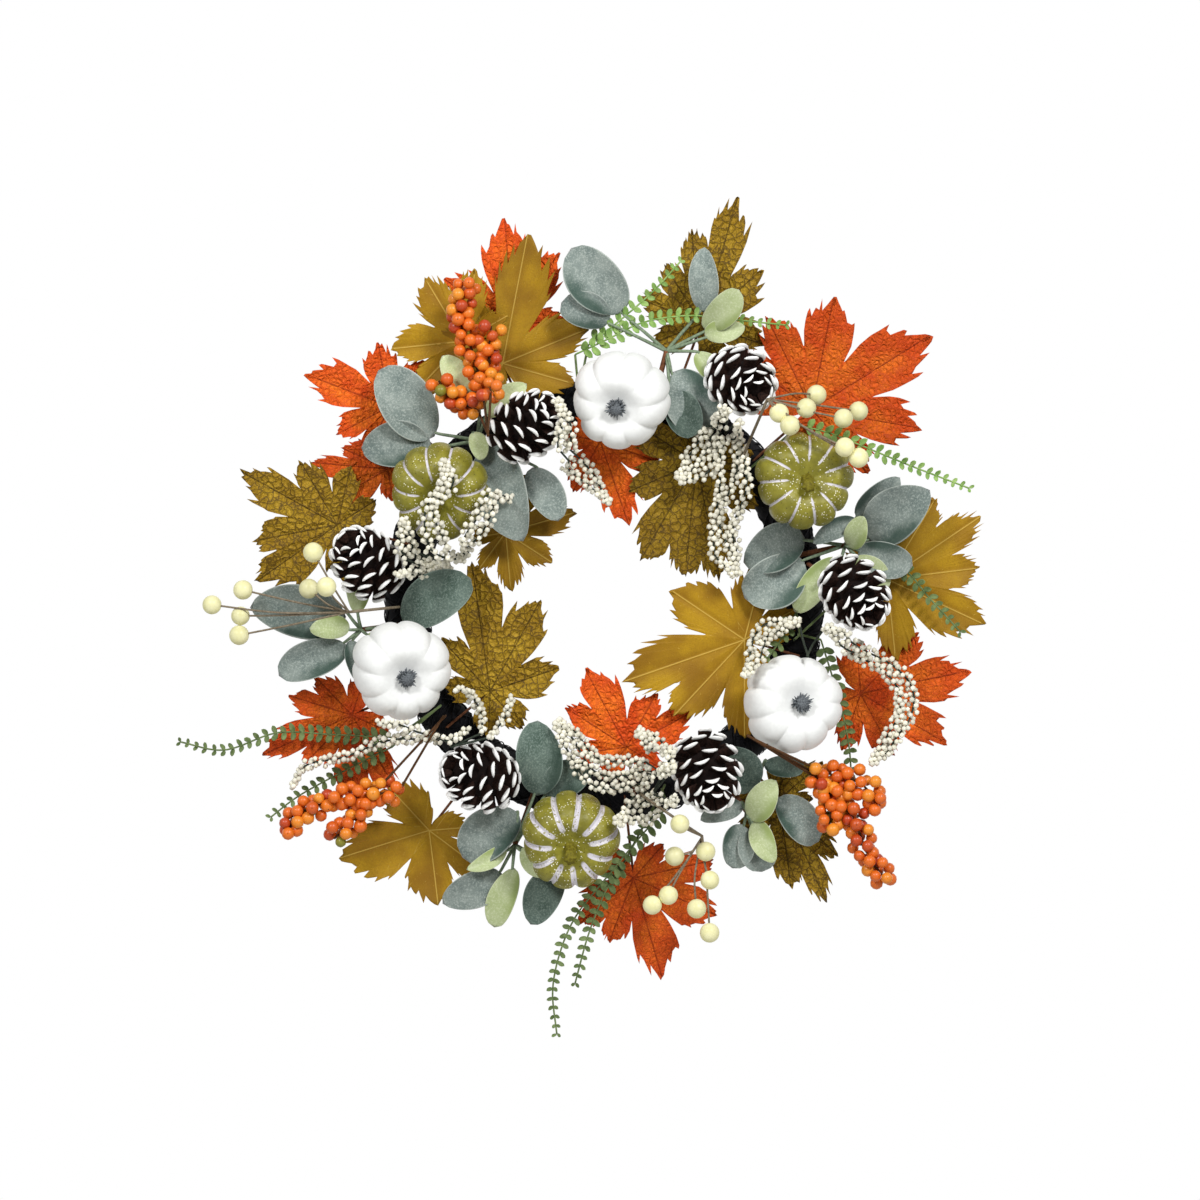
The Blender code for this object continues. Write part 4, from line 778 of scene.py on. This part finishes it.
LEAF_STYLE = {"orange": ("orange", "orange_fabric"), "gold_e": ("gold", "gold_embossed_fabric"),
              "gold_s": ("mustard", "gold_smooth_fabric")}
LEAF_LIFTS = {"orange_maple_leaf_top": -6, "gold_embossed_leaf_top": -4, "orange_maple_leaf_right": -3,
              "gold_smooth_leaf_top": 5, "gold_smooth_leaf_upper_left": 3, "gold_smooth_leaf_lower_centre": 6}

for number, (name, family, layer, stalk, centre, lobes) in enumerate(LEAVES):
    rng = np.random.default_rng(100 + number)
    key, slot = LEAF_STYLE[name[:6]]
    depth = layer_depth(layer)
    blade = leaf_blade(centre, stalk, lobes, family, depth, LEAF_LIFTS.get(name, 2), key, rng)
    wire = smooth_path([place(*stalk, STALK_FOOT), place(*stalk, depth - 4), place(*centre, depth - 1)], 6)
    make(name, [blade, stem(wire, 1.0 * MM, "brown")])


# ---------------------------------------------------------------- lamb's-ear sprays
def oval_leaf(base, turn, length, width, lift, material, rng, cup=0.25, thick=1.1, rows=22, columns=22):
    """Rounded leaf: a flattened ring swept from base to tip. Its width follows the product of a
    rising and a falling power, it is cupped across, grooved down the middle and arched along."""
    share = np.linspace(0, 1, rows)[:, None]
    wide = share ** 0.58 * (1 - share) ** rng.uniform(0.45, 0.72)
    wide = wide / wide.max() * width / 2
    around = once_round(columns)[None]
    side = np.cos(around) * wide
    body = np.sin(around) * thick / 2 * np.sqrt(np.maximum(wide / (width / 2), 0.02))
    phase = rng.uniform(0, 6.28)
    height = body + cup * (side / (width / 2)) ** 2 * width / 2
    height = height - 1.3 * np.exp(-(side / 1.8) ** 2) * np.sin(math.pi * share)
    height = height + 0.10 * length * np.sin(math.pi * share * 0.9) - 0.05 * length * share ** 2
    height = height + 0.045 * width * np.sin(7 * share + phase) * np.cos(around)
    forward = heading(turn) * math.cos(math.radians(lift)) + FORWARD * math.sin(math.radians(lift))
    aside = heading(turn + 90)
    up = unit(np.cross(forward, aside))
    up = up if up[1] < 0 else -up
    sway = 0.05 * length * np.sin(math.pi * share + phase)
    points = base + MM * (share[..., None] * length * forward + (side + sway)[..., None] * aside
                          + height[..., None] * up)
    edge = np.broadcast_to(np.abs(np.cos(around)), side.shape)
    # painted shade: the mark is set on one half of the leaf, its side picked at random and on some leaves
    # none, fading towards the tip; flocked leaves turn it deep green
    shaded_half = rng.choice([-1.0, 0.0, 1.0]) * side / (width / 2) * (1.2 - share)
    values = {"edge": np.maximum(edge, share ** 6), "vein": np.abs(side), "mark": shaded_half,
              "tint": rng.uniform(0.25, 0.75)}
    return shell(points, values, material)


for number, (name, stalk, hub, leaves) in enumerate(LAMBS_EAR):
    rng = np.random.default_rng(300 + number)
    depth = layer_depth(LAMBS_EAR_LAYER)
    parts = []
    trunk = smooth_path([place(*stalk, 9), place(*stalk, depth - 6), place(*hub, depth + 1)], 6)
    parts.append(stem(trunk, 2.0 * MM, "brown"))
    for index, (where, turn, length, width, lift) in enumerate(leaves):
        pale = index in PALE_LEAVES[name]
        key = "ear_pale" if pale else "ear_dark" if index in DARK_LEAVES.get(name, ()) else "ear"
        rise = depth + (7 if pale else 2) + rng.uniform(0, 2)
        base = place(*where, rise)
        parts.append(oval_leaf(base, turn, length, width * (0.9 if pale else 1.04), lift, key, rng,
                               rng.uniform(0.12, 0.22) if pale else rng.uniform(0.25, 0.48)))
        root = place(*hub, depth)
        tip = base + heading(turn) * length * MM * 0.06
        twig = smooth_path([root, (root + base) / 2 + FORWARD * 0.003, base, tip], 6)
        parts.append(stem(twig, np.linspace(1.5, 0.9, len(twig)) * MM, "ear_stem"))
    make(name, parts)


# ---------------------------------------------------------------- ferns
def frond(path, size, material, rng):
    """A wire with pairs of small rounded leaflets: each leaflet is a short oval leaf set at sixty
    degrees to the wire, shrinking towards the tip."""
    curve = even_path(smooth_path(path, 12), 6.8 * MM)
    along, side, _ = frames(curve)
    parts = [stem(even_path(curve, 4 * MM), 0.7 * MM, material, 5)]
    for index in range(1, len(curve)):
        shrink = 1.0 - 0.55 * (index / len(curve)) ** 1.5
        for hand in (-1, 1):
            way = along[index] * 0.5 + side[index] * hand * 0.87
            turn = math.degrees(math.atan2(way[2], way[0])) + rng.uniform(-8, 8)
            parts.append(oval_leaf(curve[index], turn, size * shrink * rng.uniform(0.9, 1.1),
                                   size * 0.58 * shrink, rng.uniform(-5, 35), material, rng,
                                   0.2, 0.5, 7, 8))
    return parts


# how far the tip of a frond stands in front of its root, in mm, where it differs from the others
FERN_RISE = {"fern_pick_upper_right": 9}
FRESH_FERNS = ("fern_pick_top", "fern_pick_upper_right")
LEAFLET = 8.8

for number, (name, layer, stalk, paths) in enumerate(FERNS):
    rng = np.random.default_rng(400 + number)
    depth = layer_depth(layer)
    parts = []
    for path in paths:
        rise = np.linspace(depth + 2, depth + FERN_RISE.get(name, 16), len(path))
        points = [place(*where, lift) for where, lift in zip(path, rise)]
        parts += frond(points, LEAFLET, "fern" if name in FRESH_FERNS else "olive_fern", rng)
        lead = smooth_path([place(*stalk, STALK_FOOT), place(*stalk, depth - 3), points[0]], 6)
        parts.append(stem(lead, 0.9 * MM, "olive_fern"))
    make(name, parts)


# ---------------------------------------------------------------- berry sprays
def draped(points, margin):
    """Points moved forward until they clear every pumpkin and cone by the margin."""
    points = points.copy()
    for name, _, centre, radius, _ in BODIES:
        back = layer_depth(LAMBS_EAR_LAYER) + 5.2
        tall = 54.0 if name.startswith("pine_cone") else 56.0
        middle = place(*centre, 0)
        gap = np.hypot(points[:, 0] - middle[0], points[:, 2] - middle[2]) / MM / (radius + margin + 4.0)
        dome = back + tall / 2 + (tall / 2 + margin) * np.clip(1.0 - gap ** 3, 0, 1) ** 0.4
        points[:, 1] = np.where(gap < 1.0, np.minimum(points[:, 1], -dome * MM), points[:, 1])
    return points


def draped_in_swing(points, margin, stalk):
    """Points moved forward until they clear every pumpkin and cone at each turn of the swing about
    the stalk: the foremost of the draped heights of the points turned by each angle."""
    pivot = place(*stalk, 0)
    result = points.copy()
    for swing in np.radians(SWING_TURNS):
        across, along = points[:, 0] - pivot[0], points[:, 2] - pivot[2]
        turned = points.copy()
        turned[:, 0] = pivot[0] + across * math.cos(swing) + along * math.sin(swing)
        turned[:, 2] = pivot[2] - across * math.sin(swing) + along * math.cos(swing)
        result[:, 1] = np.minimum(result[:, 1], draped(turned, margin)[:, 1])
    return result


def soften(points, rounds):
    """Average each point with its neighbours, so that a draped wire has no kinks."""
    for _ in range(rounds):
        points[1:-1] = (points[:-2] + 2 * points[1:-1] + points[2:]) / 4
    return points


def spray_curve(strand, depth, margin, step):
    """A strand's curve: through its places, rising slowly, and over what lies beneath."""
    rise = depth + 2.0 * np.arange(len(strand))
    points = [place(*where, lift) for where, lift in zip(strand, rise)]
    curve = draped(even_path(smooth_path(points, 12), step * MM), margin)
    return soften(curve, 4)


SWING_TURNS = (-12, -9, -6, -3, 0, 3, 6, 9, 12)

def lead_wire(stalk, depth, curve, radius, material):
    """The wire from a spray's stalk to the start of a strand."""
    path = smooth_path([place(*stalk, STALK_FOOT), place(*stalk, depth), curve[0]], 8)
    return stem(soften(draped(path, 3.0), 3), radius * MM, material, 5)


# how many strands of berries run side by side along each line of a spray
SMALL_LANES = {"small_white_berry_spray_left": 2, "small_white_berry_spray_upper": 2,
               "small_white_berry_spray_right": 3, "small_white_berry_spray_lower_left": 1,
               "small_white_berry_spray_bottom": 3, "small_white_berry_spray_lower_right": 2}

for number, (name, stalk, strands) in enumerate(SMALL):
    rng = np.random.default_rng(500 + number)
    lanes = SMALL_LANES[name]
    parts = []
    for strand in strands:
        curve = spray_curve(strand, 42.0, 8.0, 1.35)
        _, side, up = frames(curve)
        count = len(curve)
        for lane in range(lanes):
            spread = (lane - (lanes - 1) / 2) * 8.5
            spread = spread + 2.5 * np.sin(np.arange(count) / 9 + rng.uniform(0, 6.28))
            taper = np.clip(np.minimum(np.arange(count), count - np.arange(count)) / 14.0, 0.3, 1.0)
            line = draped(curve + MM * (spread * taper)[:, None] * side, 8.0)
            turn = np.arange(count) * GOLDEN_TURN + rng.uniform(0, 6.28)
            ring = rng.uniform(2.0, 4.6, count) * np.clip(taper, 0.5, 1.0)
            centres = line + MM * ring[:, None] * (side * np.cos(turn)[:, None] + up * np.sin(turn)[:, None])
            radii = rng.uniform(2.0, 2.45, count) * MM
            parts.append(berries(centres, radii, rng.uniform(0.2, 0.8, count), "small_berry", 1))
            parts.append(stem(line[::3], 0.8 * MM, "small_wire", 5))
        parts.append(lead_wire(stalk, 40, curve, 0.9, "small_wire"))
    make(name, parts)

for number, (name, stalk, strands) in enumerate(ORANGE):
    rng = np.random.default_rng(600 + number)
    parts = []
    for strand in strands:
        curve = spray_curve(strand, 52.0, 9.0, 2.2)
        _, side, up = frames(curve)
        count = len(curve)
        turn = np.arange(count) * GOLDEN_TURN + rng.uniform(0, 6.28)
        ring = rng.uniform(4.0, 9.5, count)
        ends = side * np.cos(turn)[:, None] + up * np.sin(turn)[:, None]
        centres = curve + MM * ring[:, None] * ends
        radii = rng.uniform(4.2, 5.2, count) * MM
        parts.append(berries(centres, radii, rng.uniform(0, 1, count), "orange_berry", 2, ends))
        parts.append(stem(curve, 0.9 * MM, "orange_wire", 5))
        parts.append(lead_wire(stalk, 54, curve, 1.0, "orange_wire"))
    make(name, parts)

for number, (name, stalk, hub, ends) in enumerate(CREAM):
    rng = np.random.default_rng(700 + number)
    root = place(*hub, 58)
    trunk = smooth_path([place(*stalk, STALK_FOOT), place(*stalk, 52), root], 8)
    trunk = soften(draped_in_swing(trunk, 5.0, stalk), 3)
    root = trunk[-1]
    parts = [stem(trunk, 1.1 * MM, "cream_wire")]
    centres = draped_in_swing(np.array([place(*where, 63) for where in ends]), 9.0, stalk)
    for centre in centres:
        bow = np.array([rng.uniform(-4, 4), rng.uniform(-4, 0), rng.uniform(-4, 4)]) * MM
        wire = smooth_path([root, root + (centre - root) * 0.5 + bow, centre], 8)
        wire = soften(draped_in_swing(wire, 5.0, stalk), 2)
        parts.append(stem(wire, 0.75 * MM, "cream_wire", 6))
    away = unit(centres - root + FORWARD * 0.02)
    parts.append(berries(centres, rng.uniform(7.0, 7.6, len(ends)) * MM, rng.uniform(0.3, 0.7, len(ends)),
                         "cream_berry", 3, away))
    make(name, parts)


# ---------------------------------------------------------------- pumpkins and cones
def leaned(points, lean, centre, pivot_depth):
    """Turn points about a body's own axis, then lean that axis; its axis is +Z in and -Y out."""
    way, tip, spin = np.radians(lean)
    flat = points.reshape(-1, 3)
    x = flat[:, 0] * math.cos(spin) - flat[:, 1] * math.sin(spin)
    z = flat[:, 0] * math.sin(spin) + flat[:, 1] * math.cos(spin)
    out = np.stack([x, -flat[:, 2], z], axis=1)
    tilt = np.array([math.cos(way), 0.0, math.sin(way)])
    aside = np.array([-math.sin(way), 0.0, math.cos(way)])
    along = out @ tilt
    rise = -out[:, 1]
    new_along = along * math.cos(tip) + rise * math.sin(tip)
    new_rise = rise * math.cos(tip) - along * math.sin(tip)
    result = new_along[:, None] * tilt + (out @ aside)[:, None] * aside + new_rise[:, None] * FORWARD
    return (result * MM + place(*centre, pivot_depth)).reshape(points.shape)


def pumpkin_body(lean, centre, radius, material, lobes, pinch_depth, stripe):
    """Squat ball whose waist is pinched by grooves: radius times one minus a groove that follows a
    power of one minus the absolute sine of half the lobe angle, with a dimple sunk at each pole. The
    mark is one within the stripe's half width in millimetres of a groove and falls away beyond."""
    polar = np.linspace(0, math.pi, 72)[:, None]
    turn = once_round(240)[None]
    lobe = np.abs(np.sin(lobes / 2 * turn))
    pinch = (1 - lobe) ** 2.6
    uneven = 1 + 0.025 * np.sin(3 * turn + 1.0) + 0.015 * np.cos(5 * turn)
    waist = np.sin(polar) ** 0.72
    reach = radius * waist * uneven * (1 - pinch_depth * pinch * np.sin(polar) ** 0.5) * (0.97 + 0.03 * lobe)
    rise = 28.0 * np.sign(np.cos(polar)) * np.abs(np.cos(polar)) ** 0.85
    dimple = 9.0 * np.exp(-(np.sin(polar) / 0.34) ** 2) * np.sign(np.cos(polar))
    swell = 35.0 * pinch_depth * lobe * np.sin(polar) * np.cos(polar)
    rise = rise - dimple + swell
    share = np.mod(turn * lobes / (2 * math.pi) + 0.5, 1.0) - 0.5
    gap = np.abs(share) * 2 * math.pi / lobes * reach
    mark = np.clip(1.0 - (gap - stripe) / 1.2, 0.0, 1.0) * np.clip((np.sin(polar) - 0.2) * 6, 0, 1)
    body = leaned(revolved(reach, turn, rise), lean, centre, PUMPKIN_MIDDLE)
    return shell(body, {"mark": mark, "tint": 0.5}, material)


def bristly_stem(lean, centre, rng):
    """A short fluted plug ringed with small spikes."""
    share = np.linspace(0, 1, 12)[:, None]
    turn = once_round(56)[None]
    reach = (6.0 - 2.2 * share + 2.6 * share ** 3) * (0.86 + 0.14 * np.cos(14 * turn))
    reach = np.where((share > 0) & (share < 1), reach, 0.0)
    plug = leaned(revolved(reach, turn, 16.0 + 12.0 * share), lean, centre, PUMPKIN_MIDDLE)
    parts = [shell(plug, {"tint": 0.4}, "bristle")]
    for _ in range(70):
        way = rng.uniform(0, 2 * math.pi)
        low = rng.uniform(17.5, 26.5)
        out = np.array([math.cos(way), math.sin(way), 0.0])
        start = out * 3.5 + np.array([0, 0, low])
        stop = out * rng.uniform(6.0, 8.2) + np.array([0, 0, low + rng.uniform(1.0, 4.0)])
        line = leaned(np.array([start, (start + stop) / 2, stop]), lean, centre, PUMPKIN_MIDDLE)
        parts.append(stem(line, np.array([0.75, 0.6, 0.2]) * MM, "bristle", 5, rng.uniform(0.2, 1.0)))
    return parts


def moulded_stem(lean, centre):
    """A bent ridged stub: circles whose radius flares at the root and swells at the cut end, shifted
    sideways by the square of the height."""
    share = np.linspace(0, 1, 16)[:, None]
    turn = once_round(36)[None]
    reach = (4.5 * (1 - share) ** 4 + 4.0 + 1.2 * share ** 3) * (0.92 + 0.08 * np.cos(6 * turn))
    reach = np.where((share > 0) & (share < 1), reach, 0.0)
    bend = 6.0 * share ** 2
    points = revolved(reach, turn, 15.0 + 16.0 * share)
    points -= bend[..., None] * np.array([0.3, 1.0, 0.0])
    return shell(leaned(points, lean, centre, PUMPKIN_MIDDLE), {"tint": 0.5}, "olive_stem")


def rounded_end(run, start):
    """One up to start, then a quarter circle down to nothing at the end of the run."""
    return np.sqrt(1 - np.clip((run - start) / (1 - start), 0, 1) ** 2)


def cone_scales(lean, centre, radius, rng):
    """Scales set one golden angle apart from base to tip round an egg-shaped core. Each is a
    spoon: a narrow root, a wide lip turned towards the tip, and a thick white-dipped edge."""
    polar = np.linspace(0, math.pi, 18)[:, None]
    turn = once_round(24)[None]
    core = revolved(radius * 0.56 * np.sin(polar) + 0 * turn, turn, 25.0 * np.cos(polar))
    # the core's near-black material is painted shade between the scales
    parts = [shell(leaned(core, lean, centre, CONE_MIDDLE), {"tint": 0.5}, "core")]
    axis = np.array([0.0, 0.0, 1.0])
    run = np.array([0.0, 0.25, 0.5, 0.68, 0.78, 0.85, 0.90, 0.94, 0.975, 1.0])[:, None]
    rim = once_round(10)[None]
    for index in range(SCALE_COUNT):
        share = index / (SCALE_COUNT - 1)
        low = -22.0 + 46.0 * share
        girth = math.sin(math.pi * (0.16 + 0.78 * share)) ** 0.75
        reach = radius * (0.30 + 0.70 * girth)
        size = 0.55 + 0.45 * girth
        way = index * GOLDEN_TURN
        out = np.array([math.cos(way), math.sin(way), 0.0])
        side = np.array([-math.sin(way), math.cos(way), 0.0])
        tip = math.radians(-22 + 80 * share ** 1.2 + rng.uniform(-6, 6))
        ahead = out * math.cos(tip) + axis * math.sin(tip)
        up = axis * math.cos(tip) - out * math.sin(tip)
        wide = 7.6 * size * (0.25 + 0.75 * run ** 0.8) * rounded_end(run, 0.72)
        thick = (0.6 + 1.4 * run ** 3) * size * rounded_end(run, 0.85)
        curl = 3.0 * size * run ** 3 - 0.045 * (np.cos(rim) * wide) ** 2
        length = max(reach - 3.0, 7.0)
        origin = out * 4.0 + axis * low
        points = (origin + run[..., None] * length * ahead + (np.cos(rim) * wide)[..., None] * side
                  + (np.sin(rim) * thick + curl)[..., None] * up)
        values = {"mark": run * (0.95 + 0.07 * np.cos(rim) ** 2), "tint": rng.uniform(0.2, 0.8)}
        parts.append(shell(leaned(points, lean, centre, CONE_MIDDLE), values, "scale"))
    return parts


for number, (name, stalk, centre, radius, lean) in enumerate(BODIES):
    rng = np.random.default_rng(800 + number)
    path = np.array([place(*stalk, 9), place(*stalk, 30), place(*centre, 44), place(*centre, 50)])
    rod = stem(path, 1.6 * MM, "brown")
    if name.startswith("white"):
        make(name, [pumpkin_body(lean, centre, radius, "white", 9, 0.06, 0.0), rod])
        make(name.replace("pumpkin", "pumpkin_stem"), bristly_stem(lean, centre, rng))
    elif name.startswith("green"):
        stripe = 1.5 if name.endswith("bottom") else 0.3
        body = pumpkin_body(lean, centre, radius, "olive", 11, 0.08, stripe)
        make(name, [body, moulded_stem(lean, centre), rod])
    else:
        make(name, cone_scales(lean, centre, radius, rng) + [rod])


# ---------------------------------------------------------------- ring
def ring_place(angle, turn, radius):
    """Points on a tube of the given radius about the ring's centre line; turn 0 faces outward."""
    reach = RING_RADIUS + radius * np.cos(turn)
    rise = reach * np.sin(angle) - HOOK_TO_CENTRE
    return MM * np.stack([reach * np.cos(angle), -radius * np.sin(turn), rise], axis=-1)


def fibre_strands(count, rng):
    """Fine strands wound over the ring: each follows part of a turn about the tube while it
    advances along the ring, wavering in height."""
    parts = []
    for _ in range(count):
        start = rng.uniform(0, 2 * math.pi)
        turn_start = rng.uniform(0, 2 * math.pi)
        share = np.linspace(0, 1, 14)
        angle = start + share * rng.uniform(0.06, 0.30) * rng.choice([-1, 1])
        turn = turn_start + share * rng.uniform(1.5, 3.4)
        radius = 16.4 + rng.uniform(0, 0.9) + 0.5 * np.sin(share * 6 + rng.uniform(0, 6))
        parts.append(stem(ring_place(angle, turn, radius), rng.uniform(0.35, 0.7) * MM, "fibre", 4,
                          rng.uniform(0.2, 1.0)))
    return parts


def torus(radius, material, rows=180, columns=28):
    """A plain closed ring of the given tube radius."""
    angle, turn = once_round(rows)[:, None], once_round(columns)[None]
    points = ring_place(angle + 0 * turn, turn + 0 * angle, radius).reshape(-1, 3)
    index = np.arange(rows * columns).reshape(rows, columns)
    down = np.roll(index, -1, axis=0)
    quads = [index, down, np.roll(down, -1, axis=1), np.roll(index, -1, axis=1)]
    quads = np.stack(quads, axis=-1).reshape(-1, 4)
    return {"v": points, "q": quads, "t": np.zeros((0, 3), int), "a": {"tint": np.full(len(points), 0.4)},
            "m": material, "p": np.zeros((len(points), 3))}


rng = np.random.default_rng(900)
strand_count = 900
make("fibre_wrapped_ring", [torus(16.2, "fibre")] + fibre_strands(strand_count, rng))
make("steel_hoop", [torus(3.2, "steel", 120, 12)])


# ---------------------------------------------------------------- light
def area_light(name, location, power):
    """A soft square light that faces the middle of the wreath."""
    data = bpy.data.lights.new(name, "AREA")
    data.energy = power
    data.size = LAMP_SIZE
    obj = bpy.data.objects.new(name, data)
    obj.location = location
    towards = np.array([0.0, 0.0, -HOOK_TO_CENTRE * MM]) - np.array(location)
    yaw = math.atan2(towards[0], -towards[1])
    pitch = math.atan2(math.hypot(towards[0], towards[1]), -towards[2])
    obj.rotation_euler = (pitch, 0.0, yaw + math.pi)
    bpy.context.scene.collection.objects.link(obj)


area_light("right_key_light", (1.0, -1.9, 1.2), 43.0)
area_light("left_key_light", (-1.2, -1.9, 1.1), 31.0)

floor_mesh = bpy.data.meshes.new("floor")
floor_mesh.from_pydata([(across * FLOOR_HALF, along * FLOOR_HALF, FLOOR_HEIGHT)
                        for across, along in ((-1, -1), (1, -1), (1, 1), (-1, 1))], [], [(0, 1, 2, 3)])
floor = bpy.data.objects.new("floor", floor_mesh)
bpy.context.scene.collection.objects.link(floor)
floor_paint, shader, add, where = surface("pale_painted_floor")
finish_surface(shader, "#F0F0EE", 0.9)
# the camera sees the floor a little brighter, so that it stays pale away from the lamps
shader.inputs["Emission Color"].default_value = (1, 1, 1, 1)
glow = add("Math", add("LightPath", output="Is Camera Ray"), FLOOR_GLOW, operation="MULTIPLY")
floor_paint.node_tree.links.new(glow, shader.inputs["Emission Strength"])
floor_mesh.materials.append(floor_paint)

world = bpy.data.worlds.new("white_room")
bpy.context.scene.world = world
world.use_nodes = True
tree = world.node_tree
tree.nodes.clear()
add = functools.partial(add_node, tree)
seen = add("LightPath", output="Is Camera Ray")
for ray in ("Is Glossy Ray", "Is Transmission Ray"):
    seen = add("Math", seen, add("LightPath", output=ray), operation="MAXIMUM")
soft = add("Background", (1, 1, 1, 1), ROOM_LIGHT)
bright = add("Background", (1, 1, 1, 1), 1.0)
backdrop = tree.nodes.new("ShaderNodeOutputWorld")
tree.links.new(add("MixShader", seen, soft, bright), backdrop.inputs["Surface"])

bpy.context.scene.view_settings.view_transform = "Standard"
